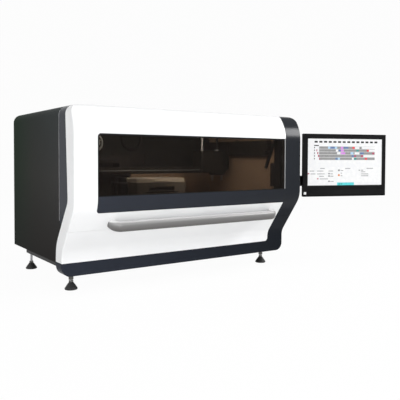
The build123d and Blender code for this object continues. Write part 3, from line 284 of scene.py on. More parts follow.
# Light grey steel of the bridge rail, also the colour of the painted highlight strips at the parting line
# and beside the pane.
TRIM_AND_PAINTED_HIGHLIGHT = shade("trim_steel_and_painted_highlight", (0.36, 0.365, 0.38), (0.44, 0.445, 0.46), (0.30, 0.40), scale=20, Metallic=0.3)


SHEET_LOW, SHEET_HIGH = 124, 761


def side_sheet():
    """Powder-coated sheet: green-black at the rear, with a painted reflection that lightens it to slate at
    the front, and painted shade that darkens it and turns it browner towards the floor.
    """
    made = Shader("side_sheet")
    # Painted reflection: lighter and greyer towards the front, green-black towards the rear.
    length = made.ramp(
        made.along("Y", 0, CABINET_REAR),
        (0.0, (0.036, 0.038, 0.039)), (0.5, (0.021, 0.023, 0.021)), (1.0, (0.000, 0.011, 0.002)),
    )
    # Painted shade: darker and browner towards the floor.
    height = made.ramp(
        made.along("Z", SHEET_LOW, SHEET_HIGH),
        (0.0, (0.30, 0.22, 0.20)), (0.55, (1.0, 0.94, 0.90)), (1.0, (0.90, 1.0, 1.0)),
    )
    blotch = made.mottled(grey(0.93), grey(1.0), 5)
    made.link(made.product(made.product(length, height), blotch), made.shader.inputs["Base Color"])
    return made.finish((0.46, 0.56), Specular_IOR_Level=0.02, **POWDER)


def smoked():
    """Smoked pane: a brown film of even density with a gloss surface."""
    made = Shader("smoked_pane")
    film = made.mottled((0.006, 0.0048, 0.004), (0.008, 0.006, 0.005), 2)
    made.link(film, made.shader.inputs["Base Color"])
    return made.finish((0.02, 0.04), Alpha=0.60, Specular_IOR_Level=0.04)


def lit(name, low, high, strength=0.55):
    """A self-lit surface with a faint cell pattern, for what the display shows."""
    made = Shader(name)
    tone = made.mottled(low, high, 60)
    made.link(tone, made.shader.inputs["Base Color"])
    made.link(tone, made.shader.inputs["Emission Color"])
    return made.finish((0.25, 0.35), Emission_Strength=strength, Specular_IOR_Level=0.2)


SIDE = side_sheet()
PANE = smoked()
SCREEN = lit("screen_white", (0.50, 0.505, 0.515), grey(0.53))
UI_GREY = lit("ui_grey", grey(0.17), grey(0.20))
UI_PALE = lit("ui_pale", (0.50, 0.505, 0.51), (0.55, 0.55, 0.55))
UI_DARK = lit("ui_dark", (0.008, 0.008, 0.009), (0.016, 0.016, 0.017), 0.5)
UI_MID = lit("ui_mid", (0.15, 0.15, 0.16), (0.21, 0.21, 0.22), 0.5)
UI_BLUE = lit("ui_blue", (0.07, 0.11, 0.21), (0.10, 0.15, 0.27))
UI_SKY = lit("ui_sky", (0.24, 0.36, 0.46), (0.30, 0.42, 0.52))
UI_VIOLET = lit("ui_violet", (0.38, 0.15, 0.42), (0.44, 0.19, 0.48))
UI_RED = lit("ui_red", (0.44, 0.03, 0.04), (0.50, 0.05, 0.06))
UI_WINE = lit("ui_wine", (0.24, 0.05, 0.08), (0.30, 0.07, 0.11))
UI_TEAL = lit("ui_teal", (0.06, 0.36, 0.38), (0.08, 0.42, 0.44))
UI_GREEN = lit("ui_green", (0.03, 0.18, 0.16), (0.05, 0.22, 0.20))
UI_ORANGE = lit("ui_orange", (0.40, 0.14, 0.05), (0.46, 0.18, 0.07))

LOOKS = {
    WHITE: ("lid_cover", "front_panel"),
    SLATE: ("lid_column", "lid_band", "front_frame"),
    SIDE: ("side_panels", "roof_cover"),
    SHEET_DARK: ("rear_panel",),
    BASE: ("base_tray", "skids", "monitor_bracket"),
    FRAME: ("chassis_frame", "front_brackets", "lid_ribs", "lid_crossbars", "tilt_yoke"),
    LINER: ("liner_walls", "deck_plate"),
    HANDLE: ("handle",),
    GUIDE: ("guides",),
    BRIDGE: ("bridge", "reader_module"),
    CHROME: ("left_strut_rod", "right_strut_rod"),
    ZINC: ("foot_nuts", "hinge_fixed_leaves", "hinge_lid_leaves", "strut_brackets"),
    BRIGHT: ("foot_stems", "fan_guard", "data_ports", "probe", "left_jaw", "right_jaw", "power_supply"),
    BLACK: ("fan", "power_inlet", "mains_rocker", "gripper", "interlock", "left_strut_tube",
            "right_strut_tube"),
    RUBBER: ("foot_pads",),
    MODULE: ("incubator", "wash_station"),
    CREAM: ("plate_tray",),
    HEAD: ("head",),
    BOTTLE: ("wash_bottles",),
    PLATE: ("microplates",),
    RACK: ("sample_racks", "tip_racks"),
    TUBE: ("sample_tubes",),
    MONITOR: ("monitor_arm", "monitor_post", "monitor_bezel", "monitor_shell"),
    SCREEN: ("monitor_screen",),
    BUTTON: ("monitor_button",),
    PANE: ("window",),
}
for look, names in LOOKS.items():
    for name in names:
        NODES[name].data.materials.clear()
        NODES[name].data.materials.append(look)


# Mesh pieces
SHARP_ANGLE = 35


class Shape:
    """A mesh built up from simple forms, in metres in the row frame."""

    def __init__(self):
        self.verts = []
        self.faces = []

    def prism(self, outline, vector):
        """The solid swept by a closed outline of points along a vector."""
        base = len(self.verts)
        count = len(outline)
        self.verts += [Vector(p) for p in outline] + [Vector(p) + Vector(vector) for p in outline]
        self.faces.append(tuple(range(base, base + count)))
        self.faces.append(tuple(range(base + 2 * count - 1, base + count - 1, -1)))
        for k in range(count):
            n = (k + 1) % count
            self.faces.append((base + k, base + n, base + count + n, base + count + k))

    def box(self, low, high):
        """A box between two corners given in millimetres about the cabinet."""
        (x0, y0, z0), (x1, y1, z1) = low, high
        base = [mm(x, y, z0) for x, y in ((x0, y0), (x1, y0), (x1, y1), (x0, y1))]
        self.prism(base, (0, 0, (z1 - z0) / 1000))

    def lathe(self, place, axis, profile, sides=20):
        """A profile of (radius, height) in millimetres turned about an axis through a place."""
        axis = Vector(axis).normalized()
        across = axis.orthogonal().normalized()
        other = axis.cross(across)
        rings = []
        for radius, height in profile:
            ring = []
            for k in range(sides if radius else 1):
                turn = 2 * math.pi * k / sides
                ring.append(len(self.verts))
                out = (across * math.cos(turn) + other * math.sin(turn)) * radius
                self.verts.append(Vector(place) + (out + axis * height) / 1000)
            rings.append(ring)
        for first, second in zip(rings, rings[1:]):
            for k in range(sides):
                n = (k + 1) % sides
                corners = [first[k % len(first)], first[n % len(first)]]
                corners += [second[n % len(second)], second[k % len(second)]]
                self.faces.append(tuple(dict.fromkeys(corners)))

    def loft(self, rings, closed_ends=True):
        """Joins rings of equal point counts in order; each ring is closed."""
        base = len(self.verts)
        count = len(rings[0])
        for ring in rings:
            self.verts += [Vector(p) for p in ring]
        for r in range(len(rings) - 1):
            for k in range(count):
                n = (k + 1) % count
                a = base + r * count
                self.faces.append((a + k, a + n, a + count + n, a + count + k))
        if closed_ends:
            self.faces.append(tuple(range(base, base + count)))
            last = base + (len(rings) - 1) * count
            self.faces.append(tuple(range(last + count - 1, last - 1, -1)))

    def piece(self, name, material, body, smooth=False, bevel=0.0, segments=2):
        """The finished mesh as an object that rides on a body; the bevel is in metres."""
        mesh = bpy.data.meshes.new(name)
        mesh.from_pydata([tuple(v) for v in self.verts], [], self.faces)
        work = bmesh.new()
        work.from_mesh(mesh)
        bmesh.ops.recalc_face_normals(work, faces=work.faces)
        work.to_mesh(mesh)
        work.free()
        mesh.materials.append(material)
        if smooth:
            mesh.set_sharp_from_angle(angle=math.radians(SHARP_ANGLE))
            mesh.polygons.foreach_set("use_smooth", [True] * len(mesh.polygons))
        made = bpy.data.objects.new(name, mesh)
        bpy.context.scene.collection.objects.link(made)
        if bevel:
            edge = made.modifiers.new("bevel", "BEVEL")
            edge.width = bevel
            edge.segments = segments
            edge.limit_method = "ANGLE"
        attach(made, body)
        return made


def arc(centre_a, centre_b, radius, start, end, steps=8):
    """Points (a, b) on an arc from start to end, in degrees."""
    turns = [math.radians(start + (end - start) * k / steps) for k in range(steps + 1)]
    return [(centre_a + radius * math.cos(t), centre_b + radius * math.sin(t)) for t in turns]


SCREW_HEAD = ((0, 0.5), (1.5, 0.5), (1.7, 1.5), (2.8, 1.4), (3.5, 0.8), (3.7, 0), (0, 0))
SCREW_SIDES = 14


def screws(name, places, axis, body, scale=1.0, material=BRIGHT):
    """Button-head screws with a socket, standing on a surface."""
    heads = Shape()
    for place in places:
        profile = [(radius * scale, height * scale) for radius, height in SCREW_HEAD]
        heads.lathe(mm(*place), axis, profile, sides=SCREW_SIDES)
    heads.piece(name, material, body, smooth=True)


# Cabinet sizes that the pane border, the painted highlight strips and the fittings follow
HALF = (PANEL_HIGH.x - PANEL_LOW.x) * 500
ROOF = node_box("roof_cover")[1].z
HOOD_RADIUS = 40
PARTING_Y = 16
SEAM_Y = PARTING_Y + 1
PANE_LOW, PANE_HIGH = node_box("window")
COVER_LOW, COVER_HIGH = node_box("lid_cover")
FACE_Y = COVER_LOW.y
SKIN = 4
COLUMN_X = COVER_HIGH.x
BAND_X = 97 - HALF
PANE_OVERLAP = 12
WINDOW_TOP = PANE_HIGH.z - PANE_OVERLAP
WINDOW_BOTTOM = PANE_LOW.z + PANE_OVERLAP
OPENING_RADIUS = 14

# The bow handle: its tilt, the (Y, Z) of its bar's axis, and the slanted face that its legs stand on
HANDLE_TILT = 13
HANDLE_BAR = (-130.4, 276.9)
HANDLE_HALF_HEIGHT, HANDLE_HALF_DEPTH = 21, 15
HANDLE_BEND, BEND_STEP = 26, 9
SECTION_SIDES, SECTION_POWER = 32, 0.8
COVER_POINT = (-96, 301)
COVER_NORMAL = (-185.4, -130)


def hood_line(inset, low):
    """(X, Z) points of the cabinet's cross-section from the left side over the roof to the right."""
    radius = HOOD_RADIUS - inset
    left = arc(HOOD_RADIUS - HALF, ROOF - HOOD_RADIUS, radius, 180, 90)
    right = arc(HALF - HOOD_RADIUS, ROOF - HOOD_RADIUS, radius, 90, 0)
    return [(inset - HALF, low)] + left + right + [(HALF - inset, low)]


def parting_painted_highlight():
    """Light grey strip on the cabinet's sheet at the lid's parting line: a painted highlight for the light
    caught by the sheet's edge.
    """
    outset, inset, depth, foot = 0.6, 1.0, 2.2, 300
    rear = SEAM_Y + depth
    rings = []
    for (xo, zo), (xi, zi) in zip(hood_line(-outset, foot), hood_line(inset, foot)):
        section = ((xo, SEAM_Y, zo), (xo, rear, zo), (xi, rear, zi), (xi, SEAM_Y, zi))
        rings.append([mm(*place) for place in section])
    highlight_band = Shape()
    highlight_band.loft(rings)
    highlight_band.piece("parting_painted_highlight", TRIM_AND_PAINTED_HIGHLIGHT, "cabinet", smooth=True)


def pane_border():
    """Black border printed on the pane inside the opening."""
    wide, ink, radius = 7, 0.3, OPENING_RADIUS
    y = FACE_Y + SKIN
    x0, x1, z0, z1 = BAND_X, COLUMN_X, WINDOW_BOTTOM, WINDOW_TOP
    outer = arc(x0 + radius, z1 - radius, radius, 180, 90) + [(x1, z1), (x1, z0), (x0, z0)]
    inner = arc(x0 + radius, z1 - radius, radius - wide, 180, 90)
    inner += [(x1 - wide, z1 - wide), (x1 - wide, z0 + wide / 2), (x0 + wide, z0 + wide / 2)]
    rings = []
    for (xo, zo), (xi, zi) in zip(outer + outer[:1], inner + inner[:1]):
        section = ((xo, y, zo), (xo, y - ink, zo), (xi, y - ink, zi), (xi, y, zi))
        rings.append([mm(*place) for place in section])
    border = Shape()
    border.loft(rings, closed_ends=False)
    border.piece("pane_border", BORDER, "lid")


def column_painted_highlight():
    """Thin light strip between the pane and the dark column: a painted highlight for the light caught at
    the pane's edge.
    """
    far, near, recess, pane_gap, foot_gap, head_gap = 3.2, 0.8, 0.6, 0.1, 2, 1
    strip = Shape()
    strip.box(
        (COLUMN_X - far, FACE_Y + recess, WINDOW_BOTTOM + foot_gap),
        (COLUMN_X - near, FACE_Y + SKIN - pane_gap, WINDOW_TOP - head_gap),
    )
    strip.piece("column_painted_highlight", TRIM_AND_PAINTED_HIGHLIGHT, "lid", bevel=0.0004)


def bow_handle():
    """The bow handle with an oval section, its legs cut to seat on the slanted part of the cover."""
    low, high = node_box("handle")
    tilt = math.radians(HANDLE_TILT)
    back = Vector((0, math.cos(tilt), math.sin(tilt)))
    up = Vector((0, -math.sin(tilt), math.cos(tilt)))
    side = Vector((1, 0, 0))
    bar = Vector((0, *HANDLE_BAR))
    slope = Vector((0, *COVER_NORMAL)).normalized()
    foot = Vector((0, *COVER_POINT))
    section = []
    for k in range(SECTION_SIDES):
        turn = 2 * math.pi * k / SECTION_SIDES
        wide, tall = (
            math.copysign(abs(part) ** SECTION_POWER, part) for part in (math.cos(turn), math.sin(turn))
        )
        section.append((HANDLE_HALF_DEPTH * wide, HANDLE_HALF_HEIGHT * tall))
    stations = []
    for way, end, turns in ((-1, low.x, range(0, 91, BEND_STEP)), (1, high.x, range(90, -1, -BEND_STEP))):
        leg = end - way * HANDLE_HALF_DEPTH
        for turn in turns:
            cosine, sine = math.cos(math.radians(turn)), math.sin(math.radians(turn))
            inward, reach = HANDLE_BEND * (1 - cosine), HANDLE_BEND * (1 - sine)
            stations.append((leg - way * inward, reach, way * cosine, -sine))
    rings = []
    for x, reach, out_x, out_back in stations:
        centre = bar + side * x + back * reach
        out = side * out_x + back * out_back
        rings.append([centre + out * wide + up * tall for wide, tall in section])
    feet = []
    for ring in (rings[0], rings[-1]):
        feet.append([p - back * ((p - foot).dot(slope) / back.dot(slope)) for p in ring])
    handle = Shape()
    handle.loft([[mm(*p) for p in ring] for ring in (feet[0], *rings, feet[1])])
    made = handle.piece("bow_handle", HANDLE, "lid", smooth=True)
    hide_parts("handle")


parting_painted_highlight()
pane_border()
column_painted_highlight()
bow_handle()

# Feet: threads on the stems and a six-sided collar on each pad
STEM_LOW, STEM_HIGH = node_box("foot_stems")
PAD_LOW, PAD_HIGH = node_box("foot_pads")
STEM_RADIUS = 6
PAD_RADIUS = 27
FOOT_X = PAD_HIGH.x - PAD_RADIUS
FOOT_YS = (PAD_LOW.y + PAD_RADIUS, PAD_HIGH.y - PAD_RADIUS)
FOOT_PLACES = [(x, y) for x in (-FOOT_X, FOOT_X) for y in FOOT_YS]
THREAD_PITCH = 1.75
THREAD_ROOT, THREAD_CREST = STEM_RADIUS - 0.1, STEM_RADIUS + 0.35
THREAD_START, THREAD_SPARE = 4, 10
COLLAR = ((0, -1), (9.4, -1), (9.8, 0), (9.8, 5), (9.0, 6), (0, 6))


def stem_threads():
    threads = Shape()
    turns = int((STEM_HIGH.z - STEM_LOW.z - THREAD_SPARE) / THREAD_PITCH)
    profile = []
    for k in range(turns):
        profile += [(THREAD_ROOT, k * THREAD_PITCH), (THREAD_CREST, (k + 0.5) * THREAD_PITCH)]
    profile.append((THREAD_ROOT, turns * THREAD_PITCH))
    for x, y in FOOT_PLACES:
        threads.lathe(mm(x, y, STEM_LOW.z + THREAD_START), (0, 0, 1), profile, sides=16)
    threads.piece("stem_threads", BRIGHT, "cabinet", smooth=True)


def pad_collars():
    collars = Shape()
    for x, y in FOOT_PLACES:
        collars.lathe(mm(x, y, PAD_HIGH.z), (0, 0, 1), COLLAR, sides=6)
    collars.piece("pad_collars", ZINC, "cabinet", bevel=0.0004)


stem_threads()
pad_collars()


# Rear and roof fittings
REAR_ROWS, REAR_COLUMNS = (140, 705), (-540, -270, 0, 270, 540)
REAR_EDGES, REAR_EDGE_ROWS = (-580, 580), (280, 420, 560)
GUARD_INSET = 4
HINGE_XS = (-400, 0, 400)
HINGE_SCREW_SHIFT, HINGE_SCREW_INSET, LEAF_THICKNESS = 18, 9, 2


def rear_fittings():
    places = [(x, CABINET_REAR, z) for z in REAR_ROWS for x in REAR_COLUMNS]
    places += [(x, CABINET_REAR, z) for x in REAR_EDGES for z in REAR_EDGE_ROWS]
    screws("rear_screws", places, (0, 1, 0), "cabinet")
    guard_low, guard_high = node_box("fan_guard")
    middle = (guard_low + guard_high) / 2
    reach = (guard_high.x - guard_low.x) / 2 - GUARD_INSET
    lobes = [(middle.x + side, guard_high.y, middle.z) for side in (-reach, reach)]
    lobes += [(middle.x, guard_high.y, middle.z + side) for side in (-reach, reach)]
    screws("guard_screws", lobes, (0, 1, 0), "cabinet", scale=0.8)


def hinge_screws():
    z = ROOF + LEAF_THICKNESS
    xs = [hinge_x + shift for hinge_x in HINGE_XS for shift in (-HINGE_SCREW_SHIFT, HINGE_SCREW_SHIFT)]
    fixed_y = node_box("hinge_fixed_leaves")[1].y - HINGE_SCREW_INSET
    moving_y = node_box("hinge_lid_leaves")[0].y + HINGE_SCREW_INSET
    fixed = [(x, fixed_y, z) for x in xs]
    moving = [(x, moving_y, z) for x in xs]
    screws("hinge_screws_fixed", fixed, (0, 0, 1), "cabinet", scale=0.9, material=ZINC)
    screws("hinge_screws_lid", moving, (0, 0, 1), "lid", scale=0.9, material=ZINC)


rear_fittings()
hinge_screws()

# Inside the cabinet
DECK = node_box("deck_plate")[1].z
LINER_LOW, LINER_HIGH = node_box("liner_walls")
LINER_SHEET = 2
REAR_WALL = LINER_HIGH.y - LINER_SHEET
RIGHT_WALL = LINER_HIGH.x - LINER_SHEET
LIP_FRONT_GAP, LIP_HEAD_GAP = 8, 12
COVER_FACE = REAR_WALL - 4
COVER_LOW_Z = 488
COVER_SIDE_GAP, COVER_HEAD_GAP = 6, 14
ACCESS_PANEL = (-88, 116, 513, 579)
ACCESS_SCREW_INSET = 14
VENT_X, VENT_Z = -194, 632
HOSE_X, HOSE_Z, HOSE_TURN, HOSE_RADIUS, HOSE_SIDES = 27, 655, 58, 9, 12
PLUG_PLACES = ((470, 498), (330, 648), (150, 640))
BRIDGE_DEPTH = 50
RAIL_ABOVE = 17


def liner_lips():
    """Front edges of the side walls, folded towards the lid."""
    lips = Shape()
    for side in (-1, 1):
        x0, x1 = sorted((side * RIGHT_WALL, side * RIGHT_WALL + side * LINER_SHEET))
        lips.box((x0, PARTING_Y + LIP_FRONT_GAP, DECK), (x1, LINER_LOW.y, LINER_HIGH.z - LIP_HEAD_GAP))
    lips.piece("liner_lips", LINER, "cabinet")


def vent():
    """Round air vent on the rear wall: a rim, an inner ring and a hub on spokes."""
    centre = mm(VENT_X, COVER_FACE, VENT_Z)
    spoke, half_width, depth = 0.046, 0.002, 0.004
    rings = Shape()
    for outer, inner in ((52, 44), (34, 28)):
        wall, crest = ((inner, 0), (inner, 5)), ((inner + 2, 7), (outer - 2, 7))
        rings.lathe(centre, (0, -1, 0), (*wall, *crest, (outer, 5), (outer, 0), (inner, 0)), sides=32)
    rings.lathe(centre, (0, -1, 0), ((0, 8), (12, 8), (14, 6), (14, 0), (0, 0)), sides=24)
    for turn in (20, 80, 140):
        across = Vector((math.cos(math.radians(turn)), 0, math.sin(math.radians(turn))))
        width = Vector((-across.z, 0, across.x)) * half_width
        reach = across * spoke
        corners = (reach + width, reach - width, -reach - width, -reach + width)
        rings.prism([centre + corner for corner in corners], (0, -depth, 0))
    rings.piece("wall_vent", VENT, "cabinet", smooth=True)


def rear_cover():
    """Dark cover on the rear wall with a rimmed access panel."""
    cover = Shape()
    cover.box(
        (LINER_LOW.x + COVER_SIDE_GAP, COVER_FACE, COVER_LOW_Z),
        (LINER_HIGH.x - COVER_SIDE_GAP, REAR_WALL, LINER_HIGH.z - COVER_HEAD_GAP),
    )
    cover.piece("rear_cover", COVER, "cabinet", bevel=0.0008)
    sheet, rim, rim_width = 2, 7, 4
    sunk, rim_sunk = 0.5, -1.5
    panel = Shape()
    x0, x1, z0, z1 = ACCESS_PANEL
    panel.box((x0, COVER_FACE - sheet, z0), (x1, COVER_FACE + sunk, z1))
    for z in (z0, z1 - rim_width):
        panel.box((x0, COVER_FACE - rim, z), (x1, COVER_FACE + rim_sunk, z + rim_width))
    for x in (x0, x1 - rim_width):
        panel.box((x, COVER_FACE - rim, z0), (x + rim_width, COVER_FACE + rim_sunk, z1))
    panel.piece("access_panel", BRIDGE, "cabinet", bevel=0.0008)
    xs = (x0 + ACCESS_SCREW_INSET, x1 - ACCESS_SCREW_INSET)
    zs = (z0 + ACCESS_SCREW_INSET, z1 - ACCESS_SCREW_INSET)
    screws("access_screws", [(x, COVER_FACE - sheet, z) for x in xs for z in zs], (0, -1, 0), "cabinet")


def drain_hose():
    """A loop of hose that hangs from the rear cover's upper edge."""
    end_z, wall_gap = LINER_HIGH.z - 16, 1
    path = arc(HOSE_X, HOSE_Z, HOSE_TURN, 180, 360, steps=24)
    path = [(HOSE_X - HOSE_TURN, end_z)] + path + [(HOSE_X + HOSE_TURN, end_z)]
    y = COVER_FACE - HOSE_RADIUS - wall_gap
    rings = []
    for k, (x, z) in enumerate(path):
        ahead, behind = path[min(k + 1, len(path) - 1)], path[max(k - 1, 0)]
        way = Vector((ahead[0] - behind[0], 0, ahead[1] - behind[1])).normalized()
        out = Vector((way.z, 0, -way.x))
        ring = []
        for j in range(HOSE_SIDES):
            turn = 2 * math.pi * j / HOSE_SIDES
            spot = Vector((x, y, z)) + out * HOSE_RADIUS * math.cos(turn)
            ring.append(mm(*(spot + Vector((0, HOSE_RADIUS * math.sin(turn), 0)))))
        rings.append(ring)
    hose = Shape()
    hose.loft(rings)
    hose.piece("drain_hose", BLACK, "cabinet", smooth=True)


def wall_plugs():
    """Rubber plugs in the side wall."""
    plugs = Shape()
    for y, z in PLUG_PLACES:
        dome = ((0, 2.4), (5, 2.4), (7, 1.2), (7, 0), (0, 0))
        plugs.lathe(mm(RIGHT_WALL, y, z), (-1, 0, 0), dome, sides=18)
    plugs.piece("wall_plugs", BLACK, "cabinet", smooth=True)


def module_details():
    """Lid and seam of the reader, and the lips of the incubator's drawers and of its tray."""
    low, high = node_box("reader_module")
    lid = Shape()
    lid.box((low.x + 8, low.y + 8, high.z), (high.x - 8, high.y - 8, high.z + 5))
    lid.box((low.x + 60, low.y - 3, high.z - 22), (high.x - 60, low.y + 1, high.z - 12))
    lid.piece("reader_lid", FRAME, "cabinet", bevel=0.0015)
    low, high = node_box("incubator")
    first_drawer, drawer_pitch = 24, 36
    lips = Shape()
    for k in range(3):
        z = DECK + first_drawer + drawer_pitch * k
        lips.box((low.x + 52, low.y - 5, z - 7), (high.x - 52, low.y + 1, z - 3))
    lips.piece("incubator_lips", BLACK, "cabinet", bevel=0.001)
    low, high = node_box("plate_tray")
    grip = Shape()
    grip.box((low.x + 95, low.y - 9, low.z + 3), (high.x - 95, low.y + 1, low.z + 9))
    grip.piece("tray_grip", CREAM, "cabinet", bevel=0.002)


def racked_ware():
    """Pipette tips in the racks and caps on the sample tubes."""
    low, high = node_box("tip_racks")
    length, width, gap, tip_pitch = 127.8, 85.5, 6, 18
    cone = ((0, 6), (2.6, 6), (3.4, 5.5), (3.8, 0), (0, 0))
    tips = Shape()
    for column in range(3):
        for row in range(2):
            x0 = low.x + length / 2 + column * (length + gap)
            y0 = low.y + width / 2 + row * (width + gap)
            for i in range(6):
                for j in range(4):
                    place = mm(x0 + tip_pitch * (i - 2.5), y0 + tip_pitch * (j - 1.5), high.z)
                    tips.lathe(place, (0, 0, 1), cone, sides=8)
    tips.piece("pipette_tips", TIP, "cabinet", smooth=True)
    low, high = node_box("sample_tubes")
    rack_pitch, tube_pitch = 34, 24
    dome = ((6.2, -9), (7.4, -8), (7.4, 1), (6.4, 2), (0, 2))
    caps = Shape()
    for k in range(5):
        x = (low.x + high.x) / 2 + rack_pitch * (k - 2)
        for j in range(10):
            y = (low.y + high.y) / 2 + tube_pitch * (j - 4.5)
            caps.lathe(mm(x, y, high.z), (0, 0, 1), dome, sides=10)
    caps.piece("tube_caps", CAP, "cabinet", smooth=True)


def bridge_details():
    """The rail on the bridge's front and the belt over it."""
    low, high = node_box("bridge")
    middle = low.z + RAIL_ABOVE
    front = high.y - BRIDGE_DEPTH
    rail = Shape()
    rail.box((low.x + 70, front - 4.8, middle - 1.6), (high.x - 70, front - 3.6, middle + 1.6))
    rail.piece("bridge_rail", TRIM_AND_PAINTED_HIGHLIGHT, "bridge", bevel=0.0004)
    belt = Shape()
    belt.box((low.x + 40, front + 20, middle + 16.8), (high.x - 40, front + 30, middle + 18.2))
    belt.piece("bridge_belt", BLACK, "bridge")


def guide_details():
    """Hubs and screws on the wall guides."""
    low, high = node_box("guides")
    face_inset, hub_y, hub_above, screw_above = 28, 55, 13, 66
    dome = ((0, 2.4), (5, 2.4), (7, 1.6), (7.4, 0), (0, 0))
    hubs = Shape()
    for side, name in ((-1, "left"), (1, "right")):
        inner = side * (high.x - face_inset)
        hubs.lathe(mm(inner, hub_y, low.z + hub_above), (-side, 0, 0), dome, sides=20)
        places = [(inner, y, low.z + screw_above) for y in (60, 190, 320, 450, 570)]
        screws("guide_screws_" + name, places, (-side, 0, 0), "cabinet", scale=0.9)
    hubs.piece("guide_hubs", BRIGHT, "cabinet", smooth=True)


def head_details():
    """The head's front cover and a collar around each spindle."""
    low, high = node_box("head")
    cover = Shape()
    cover.box((low.x + 8, low.y - 2.5, low.z + 8), (high.x - 8, low.y + 0.5, high.z - 14))
    cover.piece("head_cover", HEAD, "head", bevel=0.0015, segments=3)
    ring = ((7.6, 0), (11, 0), (11, 7), (9.5, 9), (7.6, 9), (7.6, 0))
    spindle_inset = 12
    collars = Shape()
    for name in ("probe", "gripper"):
        node_low, node_high = node_box(name)
        x = (node_low.x + node_high.x) / 2
        collars.lathe(mm(x, low.y + spindle_inset, high.z), (0, 0, 1), ring, sides=20)
    collars.piece("spindle_collars", BRIGHT, "head", smooth=True)


vent()
wall_plugs()
rear_cover()
drain_hose()
liner_lips()
module_details()
racked_ware()
bridge_details()
guide_details()
head_details()

# Display coordinates: u to the right, v up, both from the bezel's lower left corner, depth to the rear
MONITOR_PLACE = (660, -96, 353)
MONITOR_WIDTH, MONITOR_HEIGHT = 486, 327
U0, U1, V0, V1 = 22, 464, 54, 303
YAW = math.radians(19.7)
ALONG = Vector((math.cos(YAW), -math.sin(YAW), 0))
BACK = Vector((math.sin(YAW), math.cos(YAW), 0))
UP = Vector((0, 0, 1))
CHIN_SECTION = ((34, 0.2), (34, -0.4), (11, -2.6), (9, -2.2), (9, 0.2))
CHIN_START, CHIN_GAP = 24, 3
SLOT_OUTLINE = ((0, 214), (3, 214), (3, 244), (0, 244))
SLOT_COUNT, SLOT_PITCH, SLOT_SHIFT, SLOT_BACK, SLOT_RISE = 12, 8, 120, 50, 0.0006
PLATE_SCREW, PLATE_BACK = 50, 53
SCREEN_BACK, TILE_CORNER = 1, 0.8


def on_display(u, v, depth):
    return mm(*MONITOR_PLACE) + (ALONG * u + BACK * depth + UP * v) / 1000


def display_chin():
    """Sloped band along the bezel's chin."""
    rings = []
    for u in (CHIN_START, MONITOR_WIDTH - CHIN_GAP):
        rings.append([on_display(u, v, depth) for v, depth in CHIN_SECTION])
    chin = Shape()
    chin.loft(rings)
    chin.piece("bezel_chin", CHIN, "display", bevel=0.0005)


def screen_border():
    """Black frame around the lit area, over the bezel's inner edge."""
    overlap, cover, upper_cover, front, back = 2, 4, 1, -0.3, 1.2
    rings = []
    for left, right, low, high, depths in (
        (U0 - overlap, U1 + overlap, V0 - overlap, V1 + overlap, (back, front)),
        (U0 + cover, U1 - upper_cover, V0 + cover, V1 - upper_cover, (front, back)),
    ):
        for depth in depths:
            corners = ((left, low), (right, low), (right, high), (left, high))
            rings.append([on_display(u, v, depth) for u, v in corners])
    border = Shape()
    border.loft(rings, closed_ends=False)
    border.piece("screen_border", BORDER, "display")


def display_back():
    """Dark slots and the mounting plate's screws on the display's back."""
    slots = Shape()
    for side in (-1, 1):
        for k in range(SLOT_COUNT):
            u = MONITOR_WIDTH / 2 + side * SLOT_SHIFT + (k - (SLOT_COUNT - 1) / 2) * SLOT_PITCH
            slots.prism([on_display(u + du, v, SLOT_BACK) for du, v in SLOT_OUTLINE], BACK * SLOT_RISE)
    slots.piece("shell_slots", BORDER, "display")
    heads = Shape()
    for du in (-PLATE_SCREW, PLATE_SCREW):
        for dv in (-PLATE_SCREW, PLATE_SCREW):
            place = on_display(MONITOR_WIDTH / 2 + du, MONITOR_HEIGHT / 2 + dv, PLATE_BACK)
            heads.lathe(place, BACK, SCREW_HEAD, sides=SCREW_SIDES)
    heads.piece("plate_screws", BRIGHT, "display", smooth=True)


def tiles(name, rows, material, lift):
    """Thin raised tiles on the screen, each (u0, u1, v0, v1) in millimetres, with cut corners."""
    made = Shape()
    for u0, u1, v0, v1 in rows:
        r = min(TILE_CORNER, (u1 - u0) / 4, (v1 - v0) / 4)
        outline = ((u0 + r, v0), (u1 - r, v0), (u1, v0 + r), (u1, v1 - r))
        outline += ((u1 - r, v1), (u0 + r, v1), (u0, v1 - r), (u0, v0 + r))
        made.prism([on_display(u, v, SCREEN_BACK) for u, v in outline], BACK * -lift / 1000)
    made.piece(name, material, "display")


# What the screen shows: a plain schedule with a row of labels, bars in a few colours and three panels.
# Places on it are fractions of the lit area from its upper left corner.
ROW_TOPS = [0.165 + 0.058 * k for k in range(5)]
ROW_DEPTH, BAR_GAP, STROKE = 0.052, 0.004, 0.014


def area(x0, x1, y0, y1):
    """A part of the lit area as a tile."""
    return (U0 + x0 * (U1 - U0), U0 + x1 * (U1 - U0), V1 - y1 * (V1 - V0), V1 - y0 * (V1 - V0))


def bars(name, material, spans):
    """Bars on the schedule's rows, each (row, start, end)."""
    rows = []
    for row, x0, x1 in spans:
        rows.append(area(x0, x1, ROW_TOPS[row] + BAR_GAP, ROW_TOPS[row] + ROW_DEPTH - BAR_GAP))
    tiles(name, rows, material, 0.45)


def words(name, places):
    """Short flat strokes that stand for lines of text, each (x, y, width)."""
    tiles(name, [area(x, x + width, y, y + STROKE) for x, y, width in places], UI_MID, 0.35)


